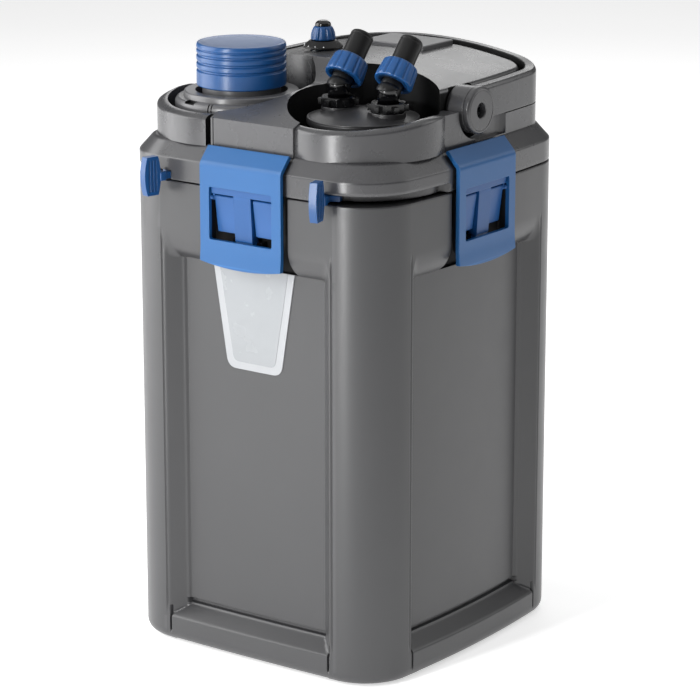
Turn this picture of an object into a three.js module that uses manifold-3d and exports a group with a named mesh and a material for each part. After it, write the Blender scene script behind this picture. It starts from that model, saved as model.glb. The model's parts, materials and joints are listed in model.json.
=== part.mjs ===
// External canister filter for an aquarium: a tub with four corner posts, a head
// held on by four clamps, a lift-out pre-filter, a hose adapter and a carry handle.
// Millimetres, +Z up, -Y is the front with the badge, origin at the bottom centre.

import * as THREE from 'three';
import { mergeVertices } from 'three/addons/utils/BufferGeometryUtils.js';
import { ConvexGeometry } from 'three/addons/geometries/ConvexGeometry.js';
import Module from 'manifold-3d';

const wasm = await Module();
wasm.setup();

// ---------------------------------------------------------------- dimensions

const GAP = 0.3; // air between pieces that touch

// plan of the tub: corner circles joined by slightly bowed sides
const CORNER_X = 69.5;
const CORNER_Y = 74.5;
const CORNER_R = 38;
const FRONT_BOW = 1;
const SIDE_BOW = 3.5;
const HALF_DEPTH = CORNER_Y + CORNER_R + FRONT_BOW;
const HALF_WIDTH = CORNER_X + CORNER_R + SIDE_BOW;

// heights
const POST_FOOT = 1;
const STRIP_BOTTOM = 3;
const STRIP_EDGE = 19;
const STRIP_TOP = 28;
const COLLAR_LOW = 267;
const COLLAR_EDGE = 290;
const SEAM = 324;
const FLANGE_TOP = 339;
const LEDGE = 349.5;
const HANDLE_LOW = 363.3;
const SIDE_TOP = 372.2; // side walls beside the wells
const RIM_FRONT = 367.5; // rims of the wells at the front; they rise towards the back
const RIM_SLOPE = 0.1;
const RIDGE_TOP = 383; // top of the saddle between the wells, at its back end
const DECK_TOP = 396.5;
const ARCH_R = 364;

// insets from the plan
const WALL = 4;
const PANEL_DEPTH = 12;
const INNER_WALL = 15.5;
const HEAD_INSET = 9.7;
const HANDLE_INSET = 17.5;
const DECK_INSET = 21.7;

// side panels and clamps, half widths
const PANEL_HALF = 68;
const SIDE_PANEL_HALF = 75;
const REVEAL = 11;
const CLAMP_HALF = 33;
const POCKET_HALF = 36;
const POCKET_DEPTH = 10;

// wells of the pre-filter (left) and the hose adapter (right)
const WELL_X = 50;
const WELL_Y = -50;
const WELL_R = 49.5;
const RING_R = [56.5, 54.5]; // left and right
const RING_FRONT = -104.5;
const RIDGE_BACK = -32;
const WELL_FLOOR = 352;
const SHELF = 346; // underside of the head's top wall

// hose connectors
const PORT_SPACING = 19.75;
const PORT_TILT = THREE.MathUtils.degToRad(41);
const BALL_Z = 386.5;

// carry handle
const PIVOT_Y = 4;
const PIVOT_Z = 371.2;
const BARREL_R = 15.5;
const BOSS_R = 5;

// lock levers
const LEVER_LOW = SEAM + 1;
const LEVER_HIGH = SEAM + 5.5;
const LEVER_INNER = 50.5;
const LEVER_OUTER = 54.2;
const RIGHT_LEVER_ANGLE = -76.7;
const LEFT_LEVER_ANGLE = -103.2;

// clamp linkage in the plane of one clamp: out from the side face, and up
const ANCHOR = { out: -5.8, up: 288 };
const CROSSBAR = { out: -0.3, up: 317.5 };

// heater
const HEATER_X = -37;
const HEATER_Y = 24;

// pump
const PUMP_X = 24;
const PUMP_Y = 52;

// ---------------------------------------------------------------- materials

const plastic = (color, roughness = 0.5) => () =>
  new THREE.MeshStandardMaterial({ color, roughness, metalness: 0 });

const MATERIALS = {
  shell: plastic('#5b5c5e'),
  head: plastic('#6c6d6f'),
  black: plastic('#1b1c1e', 0.4),
  clamp: plastic('#4a86c8', 0.45),
  blue: plastic('#2b5fa8', 0.45),
  badge: plastic('#d9dcde', 0.35),
  rubber: plastic('#202122', 0.8),
  tray: plastic('#3a3d40', 0.6),
  foam: plastic('#d8873a', 0.95),
  ceramic: plastic('#cfc8b8', 0.9),
  steel: () => new THREE.MeshStandardMaterial({ color: '#b8bbbe', roughness: 0.3, metalness: 1 }),
  glass: plastic('#39424c', 0.1),
};

// ---------------------------------------------------------------- solid tools

function solidOf(geometry) {
  const bare = geometry.clone();
  bare.deleteAttribute('normal');
  bare.deleteAttribute('uv');
  const merged = mergeVertices(bare, 1e-4);
  const triangles = Uint32Array.from(merged.index.array);
  const mesh = new wasm.Mesh({
    numProp: 3,
    vertProperties: Float32Array.from(merged.attributes.position.array),
    triVerts: triangles,
  });
  const solid = new wasm.Manifold(mesh);
  if (solid.volume() > 0) return solid;
  for (let i = 0; i < triangles.length; i += 3) {
    [triangles[i], triangles[i + 1]] = [triangles[i + 1], triangles[i]];
  }
  mesh.triVerts = triangles;
  return new wasm.Manifold(mesh);
}

function geometryOf(solid) {
  const mesh = solid.getMesh();
  const geometry = new THREE.BufferGeometry();
  geometry.setAttribute('position', new THREE.BufferAttribute(mesh.vertProperties, 3));
  geometry.setIndex(new THREE.BufferAttribute(mesh.triVerts, 1));
  geometry.computeVertexNormals();
  return geometry;
}

function combine(operation, base, pieces) {
  let solid = solidOf(base);
  for (const piece of pieces) solid = solid[operation](solidOf(piece));
  return geometryOf(solid);
}

const join = (base, ...pieces) => combine('add', base, pieces);
const cut = (base, ...pieces) => combine('subtract', base, pieces);
const common = (base, ...pieces) => combine('intersect', base, pieces);

function box(x0, x1, y0, y1, z0, z1) {
  const geometry = new THREE.BoxGeometry(x1 - x0, y1 - y0, z1 - z0);
  return geometry.translate((x0 + x1) / 2, (y0 + y1) / 2, (z0 + z1) / 2);
}

// upright cylinder or cone
function rod(radius, z0, z1, x = 0, y = 0, segments = 18, topRadius = radius) {
  const geometry = new THREE.CylinderGeometry(topRadius, radius, z1 - z0, segments);
  return geometry.rotateX(Math.PI / 2).translate(x, y, (z0 + z1) / 2);
}

// cylinder along X
function rodX(radius, x0, x1, y, z, segments = 18) {
  const geometry = new THREE.CylinderGeometry(radius, radius, x1 - x0, segments);
  return geometry.rotateZ(Math.PI / 2).translate((x0 + x1) / 2, y, z);
}

// body of revolution about Z from a list of [radius, z]
function turned(profile, x = 0, y = 0, segments = 24) {
  const points = profile.map(([radius, z]) => new THREE.Vector2(radius, z));
  const geometry = new THREE.LatheGeometry(points, segments);
  return geometry.rotateX(Math.PI / 2).translate(x, y, 0);
}

// hollow body of revolution: its profile closes on itself
const hollowTurned = (profile, ...rest) => turned([...profile, profile[0]], ...rest);

function prism(points, z0, z1) {
  const geometry = new THREE.ExtrudeGeometry(new THREE.Shape(points), {
    depth: z1 - z0,
    bevelEnabled: false,
  });
  return geometry.translate(0, 0, z0);
}

// outline given as [y, z], extruded along X
function alongX(outline, x0, x1) {
  const points = outline.map(([y, z]) => new THREE.Vector2(y, z));
  return prism(points, x0, x1).rotateX(Math.PI / 2).rotateZ(Math.PI / 2);
}

// outline given as [out, up] in the plane of a clamp, extruded along the side
function sidePrism(outline, x0, x1) {
  const points = outline.map(([out, up]) => new THREE.Vector2(out, up));
  const geometry = prism(points, x0, x1);
  return geometry.applyMatrix4(
    new THREE.Matrix4().makeBasis(
      new THREE.Vector3(0, -1, 0),
      new THREE.Vector3(0, 0, 1),
      new THREE.Vector3(1, 0, 0),
    ),
  );
}

// ---------------------------------------------------------------- plan outline

// circle through the middle of a bowed side and tangent to its two corner circles
function bow(half, reach, bulge) {
  const middle = CORNER_R + bulge;
  const radius = (half * half + middle * middle - CORNER_R * CORNER_R) / (2 * bulge);
  return { radius, behind: radius - reach - middle };
}

function arc(x, y, radius, from, to, steps) {
  return Array.from({ length: steps }, (_, i) => {
    const angle = from + ((to - from) * i) / steps;
    return new THREE.Vector2(x + radius * Math.cos(angle), y + radius * Math.sin(angle));
  });
}

// points of the plan, moved inwards by inset
function plan(inset = 0, cornerSteps = 6, sideSteps = 2) {
  const front = bow(CORNER_X, CORNER_Y, FRONT_BOW);
  const side = bow(CORNER_Y, CORNER_X, SIDE_BOW);
  const frontTurn = Math.atan2(CORNER_X, front.behind + CORNER_Y);
  const sideTurn = Math.atan2(CORNER_Y, side.behind + CORNER_X);
  const half = [
    ...arc(0, front.behind, front.radius - inset, -Math.PI / 2, -Math.PI / 2 + frontTurn, sideSteps),
    ...arc(CORNER_X, -CORNER_Y, CORNER_R - inset, -Math.PI / 2 + frontTurn, -sideTurn, cornerSteps),
    ...arc(-side.behind, 0, side.radius - inset, -sideTurn, sideTurn, 2 * sideSteps),
    ...arc(CORNER_X, CORNER_Y, CORNER_R - inset, sideTurn, Math.PI / 2 - frontTurn, cornerSteps),
    ...arc(0, -front.behind, front.radius - inset, Math.PI / 2 - frontTurn, Math.PI / 2, sideSteps),
  ];
  return [...half, ...half.map((point) => new THREE.Vector2(-point.x, -point.y))];
}

// solid lofted through plan outlines given as [z, inset]
function stack(levels) {
  const rings = levels.map(([z, inset]) => plan(inset).map((point) => [point.x, point.y, z]));
  const count = rings[0].length;
  const bottom = rings.length * count;
  const vertices = [...rings.flat(), [0, 0, levels[0][0]], [0, 0, levels.at(-1)[0]]];
  const triangles = [];
  for (let i = 0; i < count; i += 1) {
    const next = (i + 1) % count;
    for (let k = 0; k + 1 < rings.length; k += 1) {
      const low = k * count;
      const high = low + count;
      triangles.push(low + i, low + next, high + next, low + i, high + next, high + i);
    }
    const top = bottom - count;
    triangles.push(bottom, next, i, bottom + 1, top + i, top + next);
  }
  const geometry = new THREE.BufferGeometry();
  geometry.setAttribute('position', new THREE.Float32BufferAttribute(vertices.flat(), 3));
  geometry.setIndex(triangles);
  return geometry;
}

const slab = (inset, z0, z1) => stack([[z0, inset], [z1, inset]]);

// block whose top is a shallow arch across the head
function archBlock(half, y0, y1, z0, top) {
  const reach = Math.asin(half / ARCH_R);
  const points = [
    new THREE.Vector2(-half, z0),
    new THREE.Vector2(half, z0),
    ...arc(0, top - ARCH_R, ARCH_R, Math.PI / 2 - reach, Math.PI / 2 + reach, 12),
    new THREE.Vector2(-half, top - ARCH_R + ARCH_R * Math.cos(reach)),
  ];
  return prism(points, 0, y1 - y0).rotateX(Math.PI / 2).translate(0, y1, 0);
}

// piece of a flat ring between two angles in degrees
function ringSector(x, y, inner, outer, from, to, z0, z1, steps) {
  const [a, b] = [from, to].map(THREE.MathUtils.degToRad);
  const points = [
    ...arc(x, y, outer, a, b, steps),
    new THREE.Vector2(x + outer * Math.cos(b), y + outer * Math.sin(b)),
    ...arc(x, y, inner, b, a, steps),
    new THREE.Vector2(x + inner * Math.cos(a), y + inner * Math.sin(a)),
  ];
  return prism(points, z0, z1);
}

// ---------------------------------------------------------------- scene

const filter = new THREE.Group();

function piece(name, geometry, material, parent = filter) {
  const mesh = new THREE.Mesh(geometry, MATERIALS[material]());
  mesh.name = name;
  parent.add(mesh);
  return mesh;
}

// the four sides: turn about Z from the front, and distance of the side face
const SIDES = [
  { name: 'front', turn: 0, face: HALF_DEPTH, panelHalf: PANEL_HALF },
  { name: 'right', turn: Math.PI / 2, face: HALF_WIDTH, panelHalf: SIDE_PANEL_HALF },
  { name: 'back', turn: Math.PI, face: HALF_DEPTH, panelHalf: PANEL_HALF },
  { name: 'left', turn: -Math.PI / 2, face: HALF_WIDTH, panelHalf: SIDE_PANEL_HALF },
];

// moves a geometry made for a face at y = 0, outwards -Y, to its side
const toSide = (geometry, side) => geometry.translate(0, -side.face, 0).rotateZ(side.turn);

// ---------------------------------------------------------------- tub

// recess of a side panel: slanted reveals, sill and collar underside
function panelRecess(side) {
  const proud = 3;
  const slope = (deep, shallow) => shallow + ((shallow - deep) * proud) / PANEL_DEPTH;
  const wide = slope(side.panelHalf - REVEAL, side.panelHalf);
  const low = slope(STRIP_TOP, STRIP_EDGE);
  const high = slope(COLLAR_LOW, COLLAR_EDGE);
  const deepHalf = side.panelHalf - REVEAL;
  const corners = [];
  for (const sign of [-1, 1]) {
    corners.push(new THREE.Vector3(sign * wide, -proud, low));
    corners.push(new THREE.Vector3(sign * wide, -proud, high));
    corners.push(new THREE.Vector3(sign * deepHalf, PANEL_DEPTH, STRIP_TOP));
    corners.push(new THREE.Vector3(sign * deepHalf, PANEL_DEPTH, COLLAR_LOW));
  }
  return toSide(new ConvexGeometry(corners), side);
}

const clampPocket = (side) =>
  toSide(box(-POCKET_HALF, POCKET_HALF, -6, POCKET_DEPTH, COLLAR_LOW + 1, SEAM + 1), side);

function canister() {
  const outside = stack([[POST_FOOT, 6], [3, 2.5], [7, 0.6], [12, 0], [SEAM, 0]]);
  const wallDepth = PANEL_DEPTH + 3.5;
  const cavity = cut(
    stack([[9, 12], [16, WALL], [COLLAR_EDGE - 4, WALL]]),
    ...SIDES.map((side) =>
      toSide(box(-side.panelHalf - WALL, side.panelHalf + WALL, -5, wallDepth, 0, SEAM), side)),
  );
  const mouth = slab(INNER_WALL, COLLAR_EDGE - 12, SEAM + 1);
  const arches = [
    box(-62, 62, -120, 120, 0, STRIP_BOTTOM),
    box(-120, 120, -66, 66, 0, STRIP_BOTTOM),
  ];
  return cut(
    outside, cavity, mouth, ...arches,
    ...SIDES.map(panelRecess), ...SIDES.map(clampPocket), ...footPlaces().map(footPocket),
  );
}

const footPlaces = () => [[1, 1], [1, -1], [-1, 1], [-1, -1]].map(([x, y]) => [x * 76, y * 80]);

const footPocket = ([x, y]) => rod(13 + GAP, 0, 4 + GAP, x, y);

function badge() {
  const top = 34;
  const bottom = 22;
  const radius = 6;
  const low = 201;
  const outline = new THREE.Shape();
  outline.moveTo(top, COLLAR_LOW - 1);
  outline.lineTo(-top, COLLAR_LOW - 1);
  outline.lineTo(-bottom - 1, low + radius);
  outline.quadraticCurveTo(-bottom, low, -bottom + radius, low);
  outline.lineTo(bottom - radius, low);
  outline.quadraticCurveTo(bottom, low, bottom + 1, low + radius);
  const plate = new THREE.ExtrudeGeometry(outline, { depth: 1.5, bevelEnabled: false, curveSegments: 5 });
  return plate.rotateX(Math.PI / 2).translate(0, -HALF_DEPTH + PANEL_DEPTH - GAP, 0);
}

piece('canister', canister(), 'shell');
piece('badge_plate', badge(), 'badge');
footPlaces().forEach(([x, y], i) => {
  const name = ['back_right', 'front_right', 'back_left', 'front_left'][i];
  piece(`foot_${name}`, rod(13, 0, 4), 'rubber').position.set(x, y, 0);
});
piece('head_seal', cut(slab(INNER_WALL + GAP, 312, 321), slab(19.2, 311, 322)), 'rubber');

// L-shaped trays leave the front left corner free for the pre-filter and the heater
function trayPlan(inset) {
  const [far, back, stepX, stepY] = [92 - inset, 93 - inset, inset, 36 + inset];
  return [[stepX, -back], [far, -back], [far, back], [-far, back], [-far, stepY], [stepX, stepY]]
    .map(([x, y]) => new THREE.Vector2(x, y));
}

const TRAY_HEIGHT = 84;
for (const [i, name] of ['bottom', 'middle', 'top'].entries()) {
  const floor = 17 + i * (TRAY_HEIGHT + 2);
  const wall = prism(trayPlan(0), floor, floor + TRAY_HEIGHT);
  const inside = prism(trayPlan(2.5), floor + 3, floor + TRAY_HEIGHT + 1);
  piece(`${name}_tray`, cut(wall, inside), 'tray');
  const media = prism(trayPlan(4), floor + 3 + GAP, floor + TRAY_HEIGHT - 12);
  piece(`${name}_media`, media, i === 0 ? 'ceramic' : 'foam');
}

piece('prefilter_tube', hollowTurned([[35.5, 17], [37.5, 17], [37.5, SHELF - GAP], [35.5, SHELF - GAP]],
  -WELL_X, WELL_Y), 'tray');

// ---------------------------------------------------------------- head

// top of the two rings: a plane that rises towards the back, up to the side walls
function aboveRims() {
  const level = (y) => RIM_FRONT + RIM_SLOPE * (y - RING_FRONT);
  const y1 = RING_FRONT + (SIDE_TOP - RIM_FRONT) / RIM_SLOPE;
  return alongX([[-120, level(-120)], [y1, SIDE_TOP], [10, SIDE_TOP], [10, 380], [-120, 380]], -115, 115);
}

// saddle between the wells: steep at the front wall, then a ridge that runs up into the deck
function saddle() {
  const outline = [];
  for (let i = 0; i <= 9; i += 1) {
    const y = -104.2 + ((RIDGE_BACK + 104.2) * i) / 9;
    outline.push([y, RIDGE_TOP - 15.4 * ((RIDGE_BACK - y) / 72.2) ** 2]);
  }
  outline.push([-20, 388], [-12, 394], [-12, LEDGE - 1], [-104.2, LEDGE - 1]);
  return alongX(outline, -CLAMP_HALF - 0.5, CLAMP_HALF + 0.5);
}

// slot through the flange wall for a lever's neck, and the room behind it for its ring sector
function leverSlot(sign, restAngle) {
  const start = restAngle - sign * 6;
  const end = sign > 0 ? 5 : -185;
  const ring = (inner, outer, a, b) => ringSector(
    sign * WELL_X, WELL_Y, inner, outer, Math.min(a, b), Math.max(a, b), SEAM, LEVER_HIGH + 0.8, 18,
  );
  return [
    ring(LEVER_OUTER + 0.5, 90, start, end),
    ring(LEVER_INNER - 0.6, LEVER_OUTER + 0.6, start - sign * 8, end + sign * 36),
  ];
}

function headBase() {
  const flange = stack([[SEAM + GAP, 0], [FLANGE_TOP, 0], [LEDGE, HEAD_INSET]]);
  const fromWell = box(-120, 120, -36, 120, LEDGE - 1, SIDE_TOP);
  const sideWall = common(slab(HEAD_INSET, LEDGE - 1, SIDE_TOP), fromWell);
  const underHandle = box(-120, 120, PIVOT_Y, 120, HANDLE_LOW - 0.4, SIDE_TOP + 1);
  const deck = common(
    slab(DECK_INSET, LEDGE, 400),
    archBlock(95, -30, 95, LEDGE, DECK_TOP),
  );
  const [leftRing, rightRing] = RING_R.map((radius, i) =>
    rod(radius, LEDGE - 1, SIDE_TOP, (2 * i - 1) * WELL_X, WELL_Y, 40));
  const frontLeft = box(-98, 0, -115, -80, LEDGE - 2, SIDE_TOP + 1);
  const leftLimit = join(slab(HEAD_INSET, LEDGE - 2, SIDE_TOP + 1), frontLeft);
  const rings = cut(join(common(leftRing, leftLimit), rightRing), aboveRims());
  const body = join(cut(sideWall, underHandle), flange, deck, rings, saddle());
  const skirt = cut(slab(19.5, 306, SHELF + 1), slab(21.2, 305, SHELF + 2));
  const hollow = stack([[SEAM, 6], [FLANGE_TOP - 3, 6], [SHELF, 14]]);
  const deckHollow = box(-82, 82, 22, 86, SHELF - 1, 383);
  const wells = [-1, 1].map((sign) => rod(WELL_R, WELL_FLOOR, 400, sign * WELL_X, WELL_Y, 40));
  const spigotHoles = [-1, 1].map((sign) =>
    rod(9, SHELF - 1, WELL_FLOOR + 1, WELL_X + sign * PORT_SPACING, WELL_Y));
  const recesses = [-1, 1].map((sign) => {
    const [a, b] = [sign * 87.3, sign * 120].sort((p, q) => p - q);
    return rodX(BARREL_R + 2, a, b, PIVOT_Y, PIVOT_Z, 32);
  });
  const bosses = [-1, 1].map((sign) => {
    const [a, b] = [sign * 84, sign * 100.8].sort((p, q) => p - q);
    return rodX(BOSS_R, a, b, PIVOT_Y, PIVOT_Z);
  });
  const shell = cut(
    body, hollow, deckHollow, ...wells, ...spigotHoles, ...recesses,
    rod(36, SHELF - 1, WELL_FLOOR + 1, -WELL_X, WELL_Y, 32),
    rod(9.6, SHELF - 1, 400, HEATER_X, HEATER_Y),
    ...leverSlot(1, RIGHT_LEVER_ANGLE), ...leverSlot(-1, LEFT_LEVER_ANGLE),
    box(-26, 26, 53, 90, DECK_TOP - 2.5, 400),
  );
  return join(shell, skirt, ...bosses);
}

piece('head_base', headBase(), 'head');
piece('service_cover', common(
  box(-25.7, 25.7, 53.3, 89.7, DECK_TOP - 2.2, 400),
  archBlock(40, 50, 95, DECK_TOP - 10, DECK_TOP + 2.5),
), 'head');

// strain relief of the mains lead: nut and tapered boot on the back of the head
const gland = piece('cable_gland', cut(
  turned([[0, 0], [9, 0], [9, 6], [6.5, 7], [4.6, 18.6], [0, 18.6]]),
  rod(3.2, 2, 20),
), 'black');
gland.rotation.x = -Math.PI / 2;
gland.position.set(-52, HALF_DEPTH + GAP, 331.7);

// ---------------------------------------------------------------- pump

const VOLUTE_LOW = 300;
const VOLUTE_HIGH = 325;
piece('pump_motor', cut(rod(30, VOLUTE_HIGH + GAP, 380, PUMP_X, PUMP_Y, 28),
  rod(11, VOLUTE_HIGH, 362, PUMP_X, PUMP_Y)), 'black');
piece('pump_cover', cut(
  rod(33, VOLUTE_LOW, VOLUTE_HIGH, PUMP_X, PUMP_Y, 28),
  rod(27, VOLUTE_LOW + 4, VOLUTE_HIGH + 1, PUMP_X, PUMP_Y, 28),
  rod(9, VOLUTE_LOW - 1, VOLUTE_LOW + 5, PUMP_X, PUMP_Y),
), 'black');
piece('impeller_shaft', rod(1.5, 306, 361, PUMP_X, PUMP_Y, 12), 'steel');

function impeller() {
  const vanes = Array.from({ length: 6 }, (_, i) =>
    box(3, 19, -0.9, 0.9, 308, 317.5).rotateZ((i * Math.PI) / 3));
  return cut(join(rod(20, 317, 320), rod(4.5, 308, 319), ...vanes), rod(1.75, 300, 330, 0, 0, 12));
}
piece('impeller', impeller(), 'tray').position.set(PUMP_X, PUMP_Y, 0);
piece('rotor_magnet', cut(rod(9.5, 320 + GAP, 355), rod(1.75, 319, 356, 0, 0, 12)), 'steel')
  .position.set(PUMP_X, PUMP_Y, 0);

// ---------------------------------------------------------------- carry handle

function carryHandle() {
  const band = cut(slab(HEAD_INSET, HANDLE_LOW, 400), slab(HANDLE_INSET, HANDLE_LOW - 1, 401));
  const bar = common(band, archBlock(110, PIVOT_Y, 110, HANDLE_LOW, DECK_TOP + 2));
  const ends = [-1, 1].map((sign) => [sign * 88, sign * 101.5].sort((p, q) => p - q));
  return cut(
    join(bar, ...ends.map(([a, b]) => rodX(BARREL_R, a, b, PIVOT_Y, PIVOT_Z, 32))),
    rodX(BOSS_R + 0.25, -110, 110, PIVOT_Y, PIVOT_Z),
  );
}
piece('carry_handle', carryHandle(), 'head');

for (const [side, sign] of [['left', -1], ['right', 1]]) {
  const cap = hollowTurned([[5, 0], [15.7, 0], [15.7, 3.2], [14.7, 4.4], [5, 4.4]]);
  const capMesh = piece(`pivot_cap_${side}`, cap, 'head');
  capMesh.rotation.y = (sign * Math.PI) / 2;
  capMesh.position.set(sign * 101.9, PIVOT_Y, PIVOT_Z);
  const screwMesh = piece(`pivot_screw_${side}`, cut(rod(4.6, 0, 2.4), rod(1.6, 1, 3, 0, 0, 6)), 'steel');
  screwMesh.rotation.y = (sign * Math.PI) / 2;
  screwMesh.position.set(sign * 101.1, PIVOT_Y, PIVOT_Z);
}

// ---------------------------------------------------------------- pre-filter

const prefilter = new THREE.Group();
prefilter.position.set(-WELL_X, WELL_Y, 0);
filter.add(prefilter);

piece('prefilter_lid', turned([
  [0, 347], [34.8, 347], [34.8, 362.5], [43.4, 363.5], [44.6, 365], [44.6, 370.6], [42.4, 373], [38.5, 373.6],
  [38.5, 376.2], [37.5, 377], [30.8, 377], [30.8, 366.5], [26.2, 366.5], [26.2, 388], [23, 388], [23, 362],
  [0, 362],
]), 'head', prefilter);
piece('prefilter_core', hollowTurned([
  [9.5, 94], [31, 94], [31, 99.7], [12.5, 99.7], [12.5, 340], [31, 340], [31, 346.7], [9.5, 346.7],
]), 'tray', prefilter);
piece('prefilter_foam', hollowTurned([[12.8, 100], [30.5, 100], [30.5, 339.7], [12.8, 339.7]]),
  'foam', prefilter);

const CAP_LOW = 380;
const CAP_HIGH = 409;
function primerButton() {
  const grooves = [391, 396, 401].flatMap((z) => [[30, z - 0.9], [29.2, z], [30, z + 0.9]]);
  return turned([
    [0, CAP_HIGH - 5], [26.6, CAP_HIGH - 5], [26.6, CAP_LOW], [30, CAP_LOW], ...grooves,
    [30, CAP_HIGH - 1.5], [28.5, CAP_HIGH], [0, CAP_HIGH - 0.8],
  ]);
}
piece('primer_button', primerButton(), 'blue', prefilter);

// return spring of the primer button
class Helix extends THREE.Curve {
  constructor(radius, low, high, turns) {
    super();
    Object.assign(this, { radius, low, high, turns });
  }

  getPoint(t, target = new THREE.Vector3()) {
    const angle = 2 * Math.PI * this.turns * t;
    const z = this.low + (this.high - this.low) * t;
    return target.set(this.radius * Math.cos(angle), this.radius * Math.sin(angle), z);
  }
}

function primerSpring() {
  const wire = 1.1;
  const section = new THREE.Shape().absarc(0, 0, wire, 0, 2 * Math.PI);
  return new THREE.ExtrudeGeometry(section, {
    steps: 36,
    curveSegments: 3,
    bevelEnabled: false,
    extrudePath: new Helix(18, 363.6, 402.4, 4),
  });
}
piece('primer_spring', primerSpring(), 'steel', prefilter);

// ---------------------------------------------------------------- hose adapter

const adapter = new THREE.Group();
adapter.position.set(WELL_X, WELL_Y, 0);
filter.add(adapter);

function adapterDisc() {
  const disc = turned([
    [0, WELL_FLOOR + GAP], [34, WELL_FLOOR + GAP], [34, 364], [37, 365.5], [37, 369],
    [35, 370.6], [20, 373.4], [0, 374.6],
  ]);
  const ports = [-1, 1].map((sign) => sign * PORT_SPACING);
  return cut(
    join(disc, ...ports.map((x) => rod(8.5, 336, 356, x))),
    ...ports.map((x) => rod(5.5, 335, 380, x)),
  );
}
piece('adapter_disc', adapterDisc(), 'black', adapter);

const HEX_LOW = 375;
const HEX_HIGH = 382;
function hexNut() {
  const lugs = [0, 1, 2].map((i) => box(9, 13.2, -1.6, 1.6, HEX_LOW, HEX_HIGH - 2)
    .rotateZ((i * 2 * Math.PI) / 3));
  return cut(join(rod(12.4, HEX_LOW, HEX_HIGH, 0, 0, 6), ...lugs), rod(7.2, 370, 390));
}

// elbow in its own frame: the ball joint's centre at the origin
function elbow() {
  const neck = rod(6.8, HEX_LOW - BALL_Z, 0);
  const ball = new THREE.SphereGeometry(8.6, 16, 8).rotateX(Math.PI / 2);
  const arm = rod(7.3, 0, 14.7).rotateX(-PORT_TILT);
  const bores = [rod(5.5, HEX_LOW - BALL_Z - 1, 0), rod(5.5, -1, 16).rotateX(-PORT_TILT)];
  return cut(join(neck, ball, arm), ...bores);
}

function unionNut() {
  const body = rod(13, 7.4, 21.6, 0, 0, 24, 11.8);
  const grip = Array.from({ length: 12 }, (_, i) =>
    rod(1.1, 7, 22, 13, 0, 6, 1).rotateZ((i * Math.PI) / 6));
  return cut(body, rod(8.15, 7, 22), ...grip);
}

const nozzle = () => hollowTurned([[5.5, 15], [7.8, 15], [7.8, 39.6], [7.1, 41], [5.5, 41]], 0, 0, 24);

for (const [side, sign] of [['left', -1], ['right', 1]]) {
  const port = new THREE.Group();
  port.position.set(sign * PORT_SPACING, 0, 0);
  adapter.add(port);
  piece(`gland_nut_${side}`, hexNut(), 'black', port);
  const joint = new THREE.Group();
  joint.position.z = BALL_Z;
  port.add(joint);
  piece(`elbow_${side}`, elbow(), 'black', joint);
  const outlet = new THREE.Group();
  outlet.rotation.x = -PORT_TILT;
  joint.add(outlet);
  piece(`union_nut_${side}`, unionNut(), 'blue', outlet);
  piece(`hose_nozzle_${side}`, nozzle(), 'black', outlet);
}

// ---------------------------------------------------------------- lock levers

// lever pointing along +X from the centre of its well
function lockLever(sign) {
  const [from, to] = sign > 0 ? [-8, 36] : [-36, 8];
  const sector = ringSector(0, 0, LEVER_INNER, LEVER_OUTER, from, to, LEVER_LOW, LEVER_HIGH, 8);
  const neck = box(LEVER_OUTER - 1, 73, -2.6, 2.6, LEVER_LOW, LEVER_HIGH);
  const centre = (LEVER_LOW + LEVER_HIGH) / 2 + 1;
  const paddle = new THREE.Shape().absellipse(0, 0, 6.6, 13.4, 0, 2 * Math.PI);
  const blade = new THREE.ExtrudeGeometry(paddle, { depth: 5.4, bevelEnabled: false, curveSegments: 10 })
    .rotateX(Math.PI / 2)
    .translate(77.2, 2.7, centre);
  return join(sector, neck, blade);
}

for (const [side, sign, angle] of [['left', -1, LEFT_LEVER_ANGLE], ['right', 1, RIGHT_LEVER_ANGLE]]) {
  const lever = piece(`lock_lever_${side}`, lockLever(sign), 'blue');
  lever.rotation.z = THREE.MathUtils.degToRad(angle);
  lever.position.set(sign * WELL_X, WELL_Y, 0);
}

// ---------------------------------------------------------------- heater

const heater = new THREE.Group();
heater.position.set(HEATER_X, HEATER_Y, 0);
filter.add(heater);

piece('heater_tube', turned([[0, 66], [5, 67.5], [8, 73], [8, 395.8], [0, 395.8]]), 'glass', heater);
piece('heater_base', turned([[0, 396.1], [13.6, 396.1], [13.4, 397.5], [9.6, 403], [0, 403]]), 'black', heater);

function heaterKnob() {
  const flutes = Array.from({ length: 10 }, (_, i) =>
    rod(0.9, 403, 411, 8.7, 0, 6).rotateZ((i * Math.PI) / 5));
  return cut(hollowTurned([[3, 403.3], [8.6, 403.3], [8.2, 409.6], [6.6, 410.8], [3, 410.8]]), ...flutes);
}
piece('heater_knob', heaterKnob(), 'blue', heater);
piece('heater_knob_cap', turned([[0, 411.1], [6.2, 411.1], [5.4, 413.2], [3.2, 414.6], [0, 415]]), 'black', heater);

// ---------------------------------------------------------------- clamps

// lip direction along the chamfer of the flange, and its outward normal
const LIP = new THREE.Vector2(-HEAD_INSET, LEDGE - FLANGE_TOP).normalize();
const LIP_OUT = new THREE.Vector2(LIP.y, -LIP.x);
const lipPoint = (along, off) => [
  LIP.x * along + LIP_OUT.x * off,
  FLANGE_TOP + LIP.y * along + LIP_OUT.y * off,
];

const CLAMP_IN = 0.6;
const CLAMP_OUT = 3.6;
const WINDOW_HALF = 25.5;

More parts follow.
